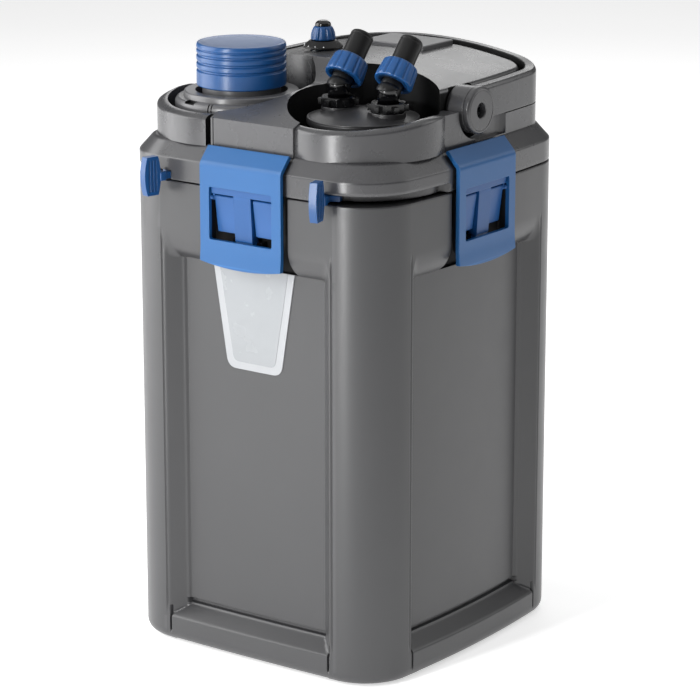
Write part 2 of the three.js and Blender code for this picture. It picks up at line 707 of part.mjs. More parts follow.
function clampLever() {
  const low = 275;
  const plate = sidePrism([
    [CLAMP_IN + 0.6, low], [CLAMP_OUT + 1, low], [CLAMP_OUT, 284], [CLAMP_OUT, FLANGE_TOP + 1.1],
    lipPoint(12.6, 3.4), lipPoint(12.6, 0.6), [CLAMP_IN, FLANGE_TOP + 0.2], [CLAMP_IN, 284],
  ], -CLAMP_HALF, CLAMP_HALF);
  const window = box(-WINDOW_HALF, WINDOW_HALF, -10, 2, 290, 325);
  const cheeks = [-1, 1].map((sign) => {
    const [a, b] = [sign * WINDOW_HALF, sign * CLAMP_HALF].sort((p, q) => p - q);
    return sidePrism([[-4, 281], [1.5, 278], [1.5, 322.4], [-4, 322.4]], a, b);
  });
  const fingerPanels = [-1, 1].map((sign) => {
    const [a, b] = [sign * 9.5, sign * (WINDOW_HALF + 1)].sort((p, q) => p - q);
    return sidePrism([[-0.8, 312], [-2.8, 312], [-8, 294], [-6, 293]], a, b);
  });
  const bearings = [-1, 1].map((sign) => {
    const [a, b] = [sign * (WINDOW_HALF - 1), sign * 30].sort((p, q) => p - q);
    return rodX(1.8, a, b, -CROSSBAR.out, CROSSBAR.up, 12);
  });
  return cut(join(cut(plate, window), ...cheeks, ...fingerPanels), ...bearings);
}

function clampLink() {
  const half = 25.1;
  const { out, up } = CROSSBAR;
  const bar = sidePrism([
    [out - 1.7, up - 3], [out + 2.2, up - 3], [out + 2.2, up + 3.5], [out - 1.7, up + 3.5],
  ], -half, half);
  const studs = rodX(1.5, -29.6, 29.6, -out, up, 12);
  const stem = sidePrism([
    [out - 1.4, up], [ANCHOR.out - 1.2, ANCHOR.up], [ANCHOR.out + 1.2, ANCHOR.up], [out + 1.4, up],
  ], -7, 7);
  const eye = rodX(3.4, -7, 7, -ANCHOR.out, ANCHOR.up, 14);
  return cut(join(bar, studs, stem, eye), rodX(1.75, -8, 8, -ANCHOR.out, ANCHOR.up, 12));
}

function clampAnchor() {
  const pin = rodX(1.5, -12, 12, -ANCHOR.out, ANCHOR.up, 12);
  const ears = [-1, 1].map((sign) => {
    const [a, b] = [sign * 8, sign * 12].sort((p, q) => p - q);
    return box(a, b, 4, POCKET_DEPTH - GAP, ANCHOR.up - 4, ANCHOR.up + 3);
  });
  return join(pin, ...ears, box(-12, 12, 9.4, POCKET_DEPTH - GAP, ANCHOR.up - 4, ANCHOR.up + 3));
}

for (const side of SIDES) {
  const place = new THREE.Group();
  place.rotation.z = side.turn;
  filter.add(place);
  const face = new THREE.Group();
  face.position.y = -side.face;
  place.add(face);
  piece(`clamp_anchor_${side.name}`, clampAnchor(), 'black', face);
  piece(`clamp_link_${side.name}`, clampLink(), 'clamp', face);
  piece(`clamp_lever_${side.name}`, clampLever(), 'clamp', face);
}

export default filter;
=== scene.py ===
"""Looks of an aquarium canister filter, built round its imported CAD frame.

Sizes in this script are millimetres and meshes are written in metres.
+Z is up and -Y is the front with the badge.
"""

import json
import random
from functools import partial
from math import asin, atan2, ceil, copysign, cos, degrees, pi, radians, sin, sqrt

import bmesh
import bpy
from mathutils import Matrix, Vector


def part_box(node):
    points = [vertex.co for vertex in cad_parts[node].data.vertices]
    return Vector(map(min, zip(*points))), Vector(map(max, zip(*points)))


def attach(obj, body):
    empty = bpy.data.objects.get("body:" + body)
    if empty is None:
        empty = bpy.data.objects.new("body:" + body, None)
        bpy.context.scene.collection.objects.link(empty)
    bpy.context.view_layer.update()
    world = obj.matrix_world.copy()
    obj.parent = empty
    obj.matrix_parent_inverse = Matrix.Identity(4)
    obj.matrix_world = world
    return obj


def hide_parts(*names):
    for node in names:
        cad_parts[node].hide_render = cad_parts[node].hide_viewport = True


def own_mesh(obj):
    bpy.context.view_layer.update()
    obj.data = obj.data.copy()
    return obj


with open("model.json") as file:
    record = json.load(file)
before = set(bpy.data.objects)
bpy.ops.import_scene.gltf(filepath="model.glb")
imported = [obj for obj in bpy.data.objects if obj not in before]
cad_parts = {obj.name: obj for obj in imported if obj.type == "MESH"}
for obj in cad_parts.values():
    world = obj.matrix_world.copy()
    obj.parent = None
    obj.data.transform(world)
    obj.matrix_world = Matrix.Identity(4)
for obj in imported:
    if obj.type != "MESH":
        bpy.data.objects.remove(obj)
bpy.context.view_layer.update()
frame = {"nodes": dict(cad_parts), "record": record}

# ---- dimensions

MM = 0.001


def corners(node):
    low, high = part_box(node)
    return low / MM, high / MM


def middle(node):
    low, high = corners(node)
    return (low + high) / 2


HALF_WIDTH, HALF_DEPTH, SEAM = corners("canister")[1]

# plan: corner circles joined by slightly bowed sides
CORNER_X = 69.5
CORNER_Y = 74.5
CORNER_R = 38
FRONT_BOW = HALF_DEPTH - CORNER_Y - CORNER_R
SIDE_BOW = HALF_WIDTH - CORNER_X - CORNER_R

# heights
POST_FOOT = 1
STRIP_BOTTOM = 3
STRIP_EDGE = 19
STRIP_TOP = 28
COLLAR_LOW = 271
COLLAR_EDGE = 290
FLANGE_TOP = 339
LEDGE = 349.5
HANDLE_LOW = 363.3
SIDE_TOP = 372.2
DECK_TOP = 396.5
HANDLE_TOP = 398.5
ARCH_R = 364

# insets from the plan
PANEL_DEPTH = 12
REVEAL = 9.5
INNER_WALL = 17
HEAD_INSET = 9.7
HANDLE_INSET = 17.5
DECK_INSET = 21.7

# side panels, clamps with their tilt axis and anchor pin, lock lever slots
PANEL_HALF = (68, 75)
CLAMP_HALF = 33
CLAMP_OUT = 3.6
CLAMP_IN = 0.6
TILT_Z = 317.5
ANCHOR_Z = 288
POCKET_HALF = 35
POCKET_DEPTH = 10
LEVER_SLOT_R = 54.8

# wells; cutters reach up to ABOVE, clear of the head
LEFT_WELL = middle("prefilter_core")
RIGHT_WELL = middle("adapter_disc")
WELL_R = 49.5
LEFT_RING_R = 56.5
RIGHT_RING_R = 54.5
WELL_FLOOR = 352
ABOVE = 410

# rims of the wells: outer foot and crest at the front, and the height they rise to behind
RIM_FOOT_Y = -104.5
RIM_FOOT_Z = 365.4
RIM_CREST_Y = -93.7
RIM_CREST_Z = 369.4
RIM_TOP = 374

# saddle between the wells: front wall, low ridge, nose running up to the deck
SADDLE_HALF = 33.5
SADDLE_FRONT = -104.2
RIDGE_Y = -32
RIDGE_TOP = 383
NOSE_END = -9.4

# hose connectors
PORT_TILT = 41
BALL_Z = 386.5

# carry handle
PIVOT = middle("pivot_cap_right")
BARREL_R = 15.5

# ---- small maths


def ramp(x, start, end):
    """0 at start, 1 at end, straight between."""
    return min(1.0, max(0.0, (x - start) / (end - start)))


def band(x, start, end, edge):
    """1 between start and end, with sloped edges just inside them."""
    return ramp(x, start, start + edge) * ramp(x, end, end - edge)


def smooth(x, start, end):
    t = ramp(x, start, end)
    return t * t * (3 - 2 * t)


def soft_min(a, b, blend):
    reach = max(blend - abs(a - b), 0) / blend
    return min(a, b) - reach * reach * blend / 4


def soft_max(a, b, blend):
    return -soft_min(-a, -b, blend)


def soft_ramp(x, start, end, depth, blend):
    """0 before start, depth past end, with both bends rounded."""
    straight = depth * (x - start) / (end - start)
    return soft_max(soft_min(straight, depth, blend), 0, blend)


def spread(*stops):
    """Positions from the first stop to the last; each stop is (position, pitch to the next)."""
    places = []
    for (here, pitch), (after, _) in zip(stops, stops[1:]):
        count = max(1, ceil((after - here) / pitch))
        places += [here + (after - here) * i / count for i in range(count)]
    return places + [stops[-1][0]]


def arc_points(x, y, radius, start, end, steps):
    angles = (radians(start + (end - start) * i / steps) for i in range(steps + 1))
    return [(x + radius * cos(a), y + radius * sin(a)) for a in angles]


def quarter(radius):
    """Steps of a rounded edge, from (0, radius) to (radius, 0)."""
    bends = (radians(angle) for angle in range(0, 91, 15))
    return [(radius * (1 - cos(a)), radius * (1 - sin(a))) for a in bends]


def rounded(outline, radius, steps=4, closed=False):
    """Outline with rounded corners; a point may give its own radius as a third value."""
    points = []
    for i, point in enumerate(outline):
        here = Vector(point[:2])
        if not closed and i in (0, len(outline) - 1):
            points.append(here)
            continue
        before = Vector(outline[i - 1][:2]) - here
        after = Vector(outline[(i + 1) % len(outline)][:2]) - here
        reach = point[2] if len(point) > 2 else radius
        reach = min(reach, 0.45 * before.length, 0.45 * after.length)
        if reach < 0.01:
            points.append(here)
            continue
        start = here + before.normalized() * reach
        end = here + after.normalized() * reach
        for k in range(steps + 1):
            t = k / steps
            points.append(start * (1 - t) ** 2 + here * 2 * t * (1 - t) + end * t * t)
    return points


# ---- mesh tools


def clean(mesh):
    """Merges doubled points and turns all faces outwards."""
    bm = bmesh.new()
    bm.from_mesh(mesh)
    bmesh.ops.remove_doubles(bm, verts=bm.verts, dist=1e-6)
    bmesh.ops.dissolve_degenerate(bm, edges=bm.edges, dist=1e-6)
    bmesh.ops.recalc_face_normals(bm, faces=bm.faces)
    bm.to_mesh(mesh)
    bm.free()


def linked(name, data):
    obj = bpy.data.objects.new(name, data)
    bpy.context.scene.collection.objects.link(obj)
    return obj


def solid(name, vertices, faces):
    """Object from vertices in millimetres."""
    mesh = bpy.data.meshes.new(name)
    mesh.from_pydata([Vector(v) * MM for v in vertices], [], faces)
    clean(mesh)
    mesh.shade_smooth()
    return linked(name, mesh)


def loft(name, rings, loop=False):
    """Solid through rings of points; the end rings are capped unless the rings loop."""
    count = len(rings[0])
    total = count * len(rings)
    faces = []
    for low in range(0, total if loop else total - count, count):
        high = (low + count) % total
        for i in range(count):
            j = (i + 1) % count
            faces.append((low + i, low + j, high + j, high + i))
    if not loop:
        faces += [tuple(range(count)), tuple(range(total - count, total))]
    return solid(name, [point for ring in rings for point in ring], faces)


def full_turn(steps):
    return [2 * pi * i / steps for i in range(steps)]


def lathe(name, profile, steps=96, hollow=False, shape=None):
    """Body of revolution about Z; shape(radius, z, angle) may change the radius."""
    rings = []
    for radius, z in profile:
        spokes = [(shape(radius, z, a) if shape else radius, a) for a in full_turn(steps)]
        rings.append([(r * cos(a), r * sin(a), z) for r, a in spokes])
    return loft(name, rings, loop=hollow)


def turned(name, outline, radius=0.4, fine=3, steps=96, hollow=False, shape=None):
    """Body of revolution whose outline gets rounded corners."""
    return lathe(name, rounded(outline, radius, fine, closed=hollow), steps, hollow, shape)


def rod(name, radius, low, high, x=0, y=0, steps=96):
    return place(lathe(name, [(radius, low), (radius, high)], steps), (x, y, 0))


def prism(name, outline, low, high):
    return loft(name, [[(x, y, z) for x, y in outline] for z in (low, high)])


def block(name, x0, x1, y0, y1, z0, z1, finish=None):
    made = prism(name, [(x0, y0), (x1, y0), (x1, y1), (x0, y1)], z0, z1)
    return painted(made, finish) if finish else made


def place(obj, shift=(0, 0, 0), turn=0, axis="Z"):
    """Turns the mesh by degrees about an axis, then moves it by millimetres."""
    obj.data.transform(Matrix.Rotation(radians(turn), 4, axis))
    obj.data.transform(Matrix.Translation(Vector(shift) * MM))
    return obj


def joined(first, *others):
    """Puts the meshes of others into first, as further shells."""
    bm = bmesh.new()
    for obj in (first, *others):
        bm.from_mesh(obj.data)
    bm.to_mesh(first.data)
    bm.free()
    for obj in others:
        bpy.data.objects.remove(obj)
    return first


def apply_modifiers(obj):
    graph = bpy.context.evaluated_depsgraph_get()
    mesh = bpy.data.meshes.new_from_object(obj.evaluated_get(graph))
    mesh.validate()
    obj.modifiers.clear()
    obj.data = mesh
    return obj


def combine(operation, obj, *others):
    """Boolean of obj with each of the others in turn; cut faces take the cutter's finish."""
    for other in others:
        modifier = obj.modifiers.new("combine", "BOOLEAN")
        modifier.operation = operation
        modifier.solver = "EXACT"
        modifier.material_mode = "TRANSFER"
        modifier.object = other
    bpy.context.view_layer.update()
    apply_modifiers(obj)
    for other in others:
        bpy.data.objects.remove(other)
    clean(obj.data)
    obj.data.validate()
    return obj


carve = partial(combine, "DIFFERENCE")
weld = partial(combine, "UNION")
keep = partial(combine, "INTERSECT")


def soften(obj, width=0.6, segments=3):
    """Rounds edges sharper than 32 degrees and gives large flat faces their own normals."""
    if width:
        bevel = obj.modifiers.new("round", "BEVEL")
        bevel.width = width * MM
        bevel.segments = segments
        bevel.limit_method = "ANGLE"
        bevel.angle_limit = radians(32)
        bevel.use_clamp_overlap = True
        bevel.miter_outer = "MITER_ARC"
    obj.data.shade_smooth()
    normals = obj.modifiers.new("normals", "WEIGHTED_NORMAL")
    normals.keep_sharp = True
    bpy.context.view_layer.update()
    return apply_modifiers(obj)


# ---- materials


def colour_of(code):
    """Linear colour from a hexadecimal display colour."""
    channels = [int(code[i : i + 2], 16) / 255 for i in (1, 3, 5)]
    return [((c + 0.055) / 1.055) ** 2.4 if c > 0.04 else c / 12.92 for c in channels] + [1]


class Finish:
    """One node material, built up step by step from object coordinates."""

    def __init__(self, name, colour, roughness, **sockets):
        self.material = bpy.data.materials.new(name)
        self.material.use_nodes = True
        self.tree = self.material.node_tree
        self.shader = self.tree.nodes["Principled BSDF"]
        self.colour = colour_of(colour)
        self.shader.inputs["Base Color"].default_value = self.colour
        self.shader.inputs["Roughness"].default_value = roughness
        self.roughness = roughness
        for socket, value in sockets.items():
            self.shader.inputs[socket.replace("_", " ")].default_value = value
        self.place = self.node("TexCoord").outputs["Object"]

    def node(self, kind, **values):
        made = self.tree.nodes.new("ShaderNode" + kind)
        for key, value in values.items():
            if hasattr(made, key):
                setattr(made, key, value)
            else:
                made.inputs[key.replace("_", " ")].default_value = value
        return made

    def link(self, start, end):
        self.tree.links.new(start, end)

    def noise(self, scale, detail=3.0, stretch=(1, 1, 1)):
        mapping = self.node("Mapping", Scale=stretch)
        self.link(self.place, mapping.inputs["Vector"])
        noise = self.node("TexNoise", Scale=scale, Detail=detail)
        self.link(mapping.outputs["Vector"], noise.inputs["Vector"])
        return noise.outputs["Fac"]

    def mapped(self, value, low, high, out_low, out_high):
        found = self.node("MapRange", From_Min=low, From_Max=high, To_Min=out_low, To_Max=out_high)
        self.link(value, found.inputs["Value"])
        return found.outputs["Result"]

    def mottled(self, scale=14, amount=0.08):
        """Slow changes of tone, as in moulded plastic."""
        tone = self.node("HueSaturation", Color=self.colour)
        value = self.mapped(self.noise(scale, 4), 0.3, 0.7, 1 - amount, 1 + amount)
        self.link(value, tone.inputs["Value"])
        self.link(tone.outputs["Color"], self.shader.inputs["Base Color"])
        self.tone = tone.outputs["Color"]
        return self

    def worn_and_highlit_edges(self, amount=0.35):
        """Convex edges are a little paler: partly wear from handling, partly a painted highlight."""
        pointy = self.node("NewGeometry").outputs["Pointiness"]
        edge = self.mapped(pointy, 0.53, 0.62, 0, amount)
        pale = [min(1, c * 1.6 + 0.02) for c in self.colour[:3]] + [1]
        mix = self.node("Mix", data_type="RGBA")
        mix.inputs[7].default_value = pale
        self.link(edge, mix.inputs[0])
        self.link(self.tone, mix.inputs[6])
        self.link(mix.outputs[2], self.shader.inputs["Base Color"])
        return self

    def brushed(self, spread_by=0.06, scale=60, stretch=(1, 1, 1)):
        """Roughness that wanders round its base value."""
        low, high = self.roughness - spread_by, self.roughness + spread_by
        value = self.mapped(self.noise(scale, 6, stretch), 0.3, 0.7, low, high)
        self.link(value, self.shader.inputs["Roughness"])
        return self

    def bumped(self, height, strength, depth):
        bump = self.node("Bump", Strength=strength, Distance=depth * MM)
        self.link(height, bump.inputs["Height"])
        self.link(bump.outputs["Normal"], self.shader.inputs["Normal"])
        return self

    def grained(self, scale=1500, strength=0.12, depth=0.15):
        """Fine moulded grain."""
        return self.bumped(self.noise(scale), strength, depth)

    def celled(self, scale):
        """Open cells of filter foam or porous ceramic."""
        cells = self.node("TexVoronoi", Scale=scale)
        self.link(self.place, cells.inputs["Vector"])
        return self.bumped(cells.outputs["Distance"], 0.9, 0.8)


def satin(name, colour, roughness, grain=0.1, shine=0.8):
    made = Finish(name, colour, roughness, Specular_IOR_Level=shine)
    return made.mottled(amount=0.04).worn_and_highlit_edges().brushed(0.02).grained(strength=grain).material


def gloss(name, colour, roughness):
    made = Finish(name, colour, roughness, Specular_IOR_Level=0.55, Coat_Weight=0.25, Coat_Roughness=0.08)
    return made.mottled(amount=0.05).worn_and_highlit_edges(0.15).brushed(0.02, 90).grained(700, 0.03, 0.1).material


def metal(name, colour, roughness=0.3):
    made = Finish(name, colour, roughness, Metallic=1.0)
    return made.mottled(40, 0.08).brushed(0.1, 200, (1, 1, 12)).grained(900, 0.05).material


def porous(name, colour, scale):
    made = Finish(name, colour, 0.95, Specular_IOR_Level=0.2)
    return made.mottled(60, 0.18).brushed(0.04).celled(scale).material


def clear(name, colour):
    made = Finish(name, colour, 0.06, Transmission_Weight=0.6)
    return made.mottled(30, 0.05).brushed(0.03, 80).grained(400, 0.02).material


SHELL = satin("shell_plastic", "#343436", 0.34)
HEAD = satin("head_plastic", "#404042", 0.28)
LIGHT_HEAD = satin("lid_plastic", "#575759", 0.32)
BLACK = gloss("black_plastic", "#08080a", 0.16)
MATT_BLACK = satin("matt_black_plastic", "#0b0b0c", 0.4, grain=0.05, shine=0.4)
DISC = satin("adapter_plastic", "#222224", 0.4, grain=0.05)
# Near-black: painted shade in the clamp pockets, gaps, recesses, the handle's inner side and the clamp
# cheeks; also the real dark seams and slots.
SHADE_AND_SEAM_DARK = satin("shade_and_seam_dark", "#070708", 0.6, grain=0.05, shine=0.3)
CLAMP = satin("clamp_plastic", "#1b5992", 0.34, grain=0.06, shine=0.55)
# Darker copy of the clamp blue: painted shade for the grip panels and the tee set back in the clamp window.
CLAMP_SHADED_BLUE = satin("clamp_blue_painted_shade", "#144d88", 0.36, shine=0.5)
BLUE = satin("blue_plastic", "#134a82", 0.3, grain=0.05, shine=0.6)
BADGE_RIM = gloss("badge_border", "#a3a5a8", 0.3)
BADGE_FIELD = gloss("badge_field", "#939699", 0.26)
RUBBER = satin("rubber", "#202022", 0.8, grain=0.3)
TRAY = satin("tray_plastic", "#3a3d40", 0.55)
FOAM = porous("filter_foam", "#cf7f35", 900)
CERAMIC = porous("ceramic_media", "#cfc8b8", 500)
STEEL = metal("steel", "#b8bbbe")
DARK_STEEL = metal("dark_steel", "#4a4c4f", 0.35)
GLASS = clear("heater_glass", "#5d6a75")
MARK = satin("scale_marks", "#e6e8ea", 0.5)

SLOT_FINISH = {
    "shell": SHELL, "head": HEAD, "black": BLACK, "clamp": CLAMP, "blue": BLUE,
    "badge": BADGE_RIM, "rubber": RUBBER, "tray": TRAY, "foam": FOAM,
    "ceramic": CERAMIC, "steel": STEEL, "glass": GLASS,
}


def dress_cad_nodes():
    for row in frame["record"]["subparts"]:
        for place_of in frame["nodes"][row["node"]].material_slots:
            place_of.material = SLOT_FINISH[row["material_slot"]]


def piece(obj, body, slot, finish=None, nodes=()):
    """obj rides on a body, takes a finish, and stands for the CAD nodes."""
    if finish:
        obj.data.materials.clear()
        obj.data.materials.append(finish)
    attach(obj, body)
    if nodes:
        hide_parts(*nodes)
    return obj


def painted(obj, finish):
    obj.data.materials.append(finish)
    return obj


def shaded(obj, finish, chosen):
    """Gives the faces picked by chosen(centre in millimetres, normal) another finish."""
    painted(obj, finish)
    for face in obj.data.polygons:
        if chosen(face.center / MM, face.normal):
            face.material_index = len(obj.data.materials) - 1
    return obj


# ---- plan outline


def bow(half, reach, bulge):
    """Radius of a bowed side, and how far its centre lies behind the middle."""
    rise = CORNER_R + bulge
    radius = (half * half + rise * rise - CORNER_R * CORNER_R) / (2 * bulge)
    return radius, radius - reach - rise


FRONT_R, FRONT_BEHIND = bow(CORNER_X, CORNER_Y, FRONT_BOW)
SIDE_R, SIDE_BEHIND = bow(CORNER_Y, CORNER_X, SIDE_BOW)
FRONT_TURN = atan2(CORNER_X, FRONT_BEHIND + CORNER_Y)
SIDE_TURN = atan2(CORNER_Y, SIDE_BEHIND + CORNER_X)


def plan_point(direction, inset=0.0):
    """Point of the inset plan whose outward normal has this direction."""
    nx, ny = cos(direction), sin(direction)
    turn = atan2(abs(ny), abs(nx))
    if turn > pi / 2 - FRONT_TURN:
        x, y, radius = 0, -FRONT_BEHIND, FRONT_R
    elif turn < SIDE_TURN:
        x, y, radius = -SIDE_BEHIND, 0, SIDE_R
    else:
        x, y, radius = CORNER_X, CORNER_Y, CORNER_R
    x += (radius - inset) * abs(nx)
    y += (radius - inset) * abs(ny)
    return copysign(x, nx), copysign(y, ny)


def side_direction(side, along):
    radius = FRONT_R if side % 2 == 0 else SIDE_R
    return radians(90 * side - 90) + asin(along / radius)


def plan_columns(stops, corner_steps):
    """(side or None, distance along the side or direction) round the plan from the front.

    stops holds what spread needs for half a front and for half a side.
    """
    columns = []
    for side in range(4):
        turn, radius = (FRONT_TURN, FRONT_R) if side % 2 == 0 else (SIDE_TURN, SIDE_R)
        other = SIDE_TURN if side % 2 == 0 else FRONT_TURN
        end = radius * sin(turn)
        half = spread(*stops[side % 2], (end, 1))
        columns += [(side, -s) for s in reversed(half)] + [(side, s) for s in half[1:]]
        start = side_direction(side, end)
        sweep = radians(90 * side) - other - start
        columns += [(None, start + sweep * k / corner_steps) for k in range(1, corner_steps)]
    return columns


PLAIN_STOPS = [[(0, 8)], [(0, 8)]]


def shell_ring(columns, z, inset, depth=None, warp=None, height=None):
    """Outline at height z; depth pushes it in, warp slides it sideways, height lifts it."""
    ring = []
    for side, along in columns:
        direction = along
        if side is not None:
            direction = side_direction(side, warp(along, z) if warp else along)
        extra = depth(side, along, z) if depth else 0
        x, y = plan_point(direction, inset + extra)
        ring.append((x, y, height(side, along, z) if height else z))
    return ring


def slab(name, inset, low, high):
    columns = plan_columns(PLAIN_STOPS, 40)
    return loft(name, [shell_ring(columns, z, inset) for z in (low, high)])


# ---- tub


def tub_stops(half):
    return [
        (0, 6), (30, 1.5), (34.6, 0.35), (37.4, 1.6), (48, 4), (half - 14, 0.6),
        (half - 8, 2), (half - 2.4, 0.35), (half + 2.8, 0.8),
    ]


def pocket_flare(z):
    """How far the clamp pocket widens on each side, towards its lower end."""
    return 5 * ramp(z, COLLAR_EDGE, COLLAR_LOW - 1) ** 2


def flare(along, z):
    size = abs(along)
    push = pocket_flare(z) * ramp(size, 24, 35) * ramp(size, 52, 38)
    return along + copysign(push, along)


def belly(z):
    """The collar swells out of the panel in a quarter ellipse."""
    share = ramp(z, COLLAR_EDGE, COLLAR_LOW)
    step = 0.6 * ramp(z, COLLAR_LOW + 0.4, COLLAR_LOW)
    return (PANEL_DEPTH - 0.6) * (1 - sqrt(1 - share * share)) + step


def tub_depth(side, along, z):
    """How far the side lies behind the plan: panel, sill, collar, clamp pocket and seams."""
    if side is None:
        return 0
    half = PANEL_HALF[side % 2]
    size = abs(along)
    reveal = soft_ramp(size, half, half - REVEAL, REVEAL, 1.4)
    reveal += soft_ramp(size, half - REVEAL - 0.7, half - REVEAL - 1.5, PANEL_DEPTH - REVEAL, 0.4)
    sill = soft_ramp(z, STRIP_EDGE, STRIP_TOP, PANEL_DEPTH, 1.2)
    panel = soft_min(soft_min(reveal, belly(z), 4), sill, 0.8)
    inside = ramp(size, half - 9, half - 10.5)
    shadow_gap = 2.6 * inside * band(z, STRIP_TOP, STRIP_TOP + 3.4, 0.4)
    end_gap = 3 * band(size, half - 2, half - 0.4, 0.4) * ramp(z, STRIP_TOP - 1, STRIP_TOP - 2)
    post_line = 0.9 * ramp(size, half + 0.8, half + 1.3) * ramp(size, half + 2.5, half + 1.9)
    post_line *= ramp(z, COLLAR_EDGE, COLLAR_EDGE - 8) * ramp(z, STRIP_EDGE, STRIP_TOP)
    pocket = POCKET_DEPTH * ramp(size, POCKET_HALF + 0.4, POCKET_HALF - 0.2)
    pocket *= ramp(z, COLLAR_LOW + 1, COLLAR_LOW + 1.6)
    return max(panel + shadow_gap, end_gap, pocket, post_line)


def pocket_shade_faces(centre, _normal):
    """Faces at the back and the ends of the four clamp pockets, drawn near-black as painted shade."""
    if centre.z < COLLAR_LOW + 1.4:
        return False
    reach = POCKET_HALF + 0.6 + pocket_flare(centre.z)
    deepest = POCKET_DEPTH + 1
    behind_front = 1.5 < HALF_DEPTH - abs(centre.y) < deepest and abs(centre.x) < reach
    behind_side = 1.5 < HALF_WIDTH - abs(centre.x) < deepest and abs(centre.y) < reach
    return behind_front or behind_side


def tub_floor(side, along, z):
    """The sides stand a little higher than the four corner posts."""
    if side is None or z > STRIP_BOTTOM:
        return z
    return max(z, POST_FOOT + (STRIP_BOTTOM - POST_FOOT) * smooth(abs(along), 67, 62))


def tub():
    columns = plan_columns([tub_stops(half) for half in PANEL_HALF], 30)
    floor_top, floor_inset, foot_r = 20, 30, 7
    rings = [shell_ring(columns, STRIP_BOTTOM, inset) for inset in (floor_inset, INNER_WALL)]
    for up, inset in quarter(foot_r):
        rings.append(shell_ring(columns, POST_FOOT + up, inset, height=tub_floor))
    heights = spread(
        (9, 3), (18, 0.6), (STRIP_TOP - 0.2, 0.3), (STRIP_TOP + 4, 3), (42, 14), (248, 4),
        (COLLAR_LOW - 1, 0.2), (COLLAR_LOW + 2.4, 0.7), (COLLAR_LOW + 7, 1.6), (298, 5), (SEAM - 1.4, 1),
    )
    rings += [shell_ring(columns, z, 0, tub_depth, flare) for z in heights]
    for drop, inset in ((0.9, 0.08), (0.55, 0.3), (0.35, 0.65), (0.3, 1.2)):
        rings.append(shell_ring(columns, SEAM - drop, inset, tub_depth, flare))
    lip_inset = INNER_WALL - 1.5
    for z, inset in (
        (SEAM - 0.3, lip_inset), (COLLAR_EDGE, lip_inset), (COLLAR_EDGE - 6, INNER_WALL),
        (floor_top, INNER_WALL), (floor_top, floor_inset),
    ):
        rings.append(shell_ring(columns, z, inset))
    shell = painted(loft("tub_shell", rings), SHELL)
    # Painted shade: the backs and ends of the clamp pockets take the near-black finish.
    shaded(shell, SHADE_AND_SEAM_DARK, pocket_shade_faces)
    piece(soften(shell, 0), "root", "shell", None, ["canister"])


def badge_outline(shrink):
    top = 34 - shrink
    bottom = 22 - shrink
    low = 201 + shrink
    high = COLLAR_LOW + 4
    bend = 7 - shrink / 2
    outline = [(-bottom, low, bend), (bottom, low, bend), (top, high, 0), (-top, high, 0)]
    return rounded(outline, 0, 8, closed=True)


def badge():
    """Plain two-tone plate: a pale border round a silver field."""
    face = -HALF_DEPTH + PANEL_DEPTH
    for name, shrink, back, front, finish in (
        ("badge_border", 0, 0.3, 1.5, BADGE_RIM), ("badge_field", 5, 1.2, 1.75, BADGE_FIELD),
    ):
        plate = prism(name, badge_outline(shrink), back, front)
        place(plate, turn=90, axis="X")
        place(plate, (0, face, 0))
        nodes = ["badge_plate"] if shrink == 0 else []
        piece(soften(plate, 0.25, 2), "root", "badge", finish, nodes)


def feet():
    for node in [n for n in frame["nodes"] if n.startswith("foot_")]:
        centre = middle(node)
        outline = [(0, 4), (13, 4), (13, 0), (11, 0), (11, 0.8), (9, 0.8), (9, 0), (0, 0)]
        pad = place(turned(node + "_pad", outline, steps=48), (centre.x, centre.y, 0))
        piece(soften(pad, 0), "root", "rubber", RUBBER, [node])


# ---- head


def arch(x, top):
    """Height of the arched deck or handle at x."""
    return top - x * x / (2 * ARCH_R)


def slot_depth(direction, mirrored):
    """Depth of a lock lever's slot under the plan point, down to a ring round its well."""
    x, y = plan_point(direction)
    well = LEFT_WELL if mirrored else RIGHT_WELL
    dx, dy = x - well.x, y - well.y
    bearing = degrees(atan2(dy, -dx if mirrored else dx))
    start, end = (-79.5, 5) if mirrored else (-82.7, 9.5)
    opened = smooth(bearing, start - 0.8, start + 0.8) * smooth(bearing, end + 0.8, end - 0.8)
    if not opened:
        return 0
    nx, ny = cos(direction), sin(direction)
    ahead = dx * nx + dy * ny
    inside = ahead * ahead - dx * dx - dy * dy + LEVER_SLOT_R ** 2
    return opened * (ahead - sqrt(inside)) if inside > 0 else 0


def flange_depth(side, along, z):
    size = abs(along)
    behind_clamp = 0
    if side is None:
        direction = along
    else:
        direction = side_direction(side, along)
        behind_clamp = 1.6 * ramp(size, 34.9, 34.4)
    slot_top = SEAM + 6.6
    if z > slot_top:
        return behind_clamp
    slot = max(slot_depth(direction, False), slot_depth(direction, True))
    return max(behind_clamp, slot * ramp(z, slot_top, slot_top - 0.3))


def flange():
    columns = plan_columns([[(0, 6), (30, 1.5), (34, 0.35), (35.6, 2)]] * 2, 44)
    side = spread((SEAM + 1.2, 2.5), (SEAM + 5.8, 0.25), (SEAM + 6.8, 3), (FLANGE_TOP - 2, 1))
    profile = [(SEAM + 0.5, 16), (SEAM + 0.5, 1.2), (SEAM + 0.6, 0.5), (SEAM + 0.8, 0.15)]
    profile += [(z, 0) for z in side]
    shoulder = [(FLANGE_TOP - 2, 0), (FLANGE_TOP, 0, 1.8), (LEDGE, HEAD_INSET - 0.2, 2.2), (LEDGE, 30)]
    profile += [tuple(p) for p in rounded(shoulder, 1.5, 5)[1:]]
    rings = [shell_ring(columns, z, inset, flange_depth if inset < 12 else None) for z, inset in profile]
    piece(soften(loft("head_flange", rings), 0), "root", "head", HEAD, ["head_base"])


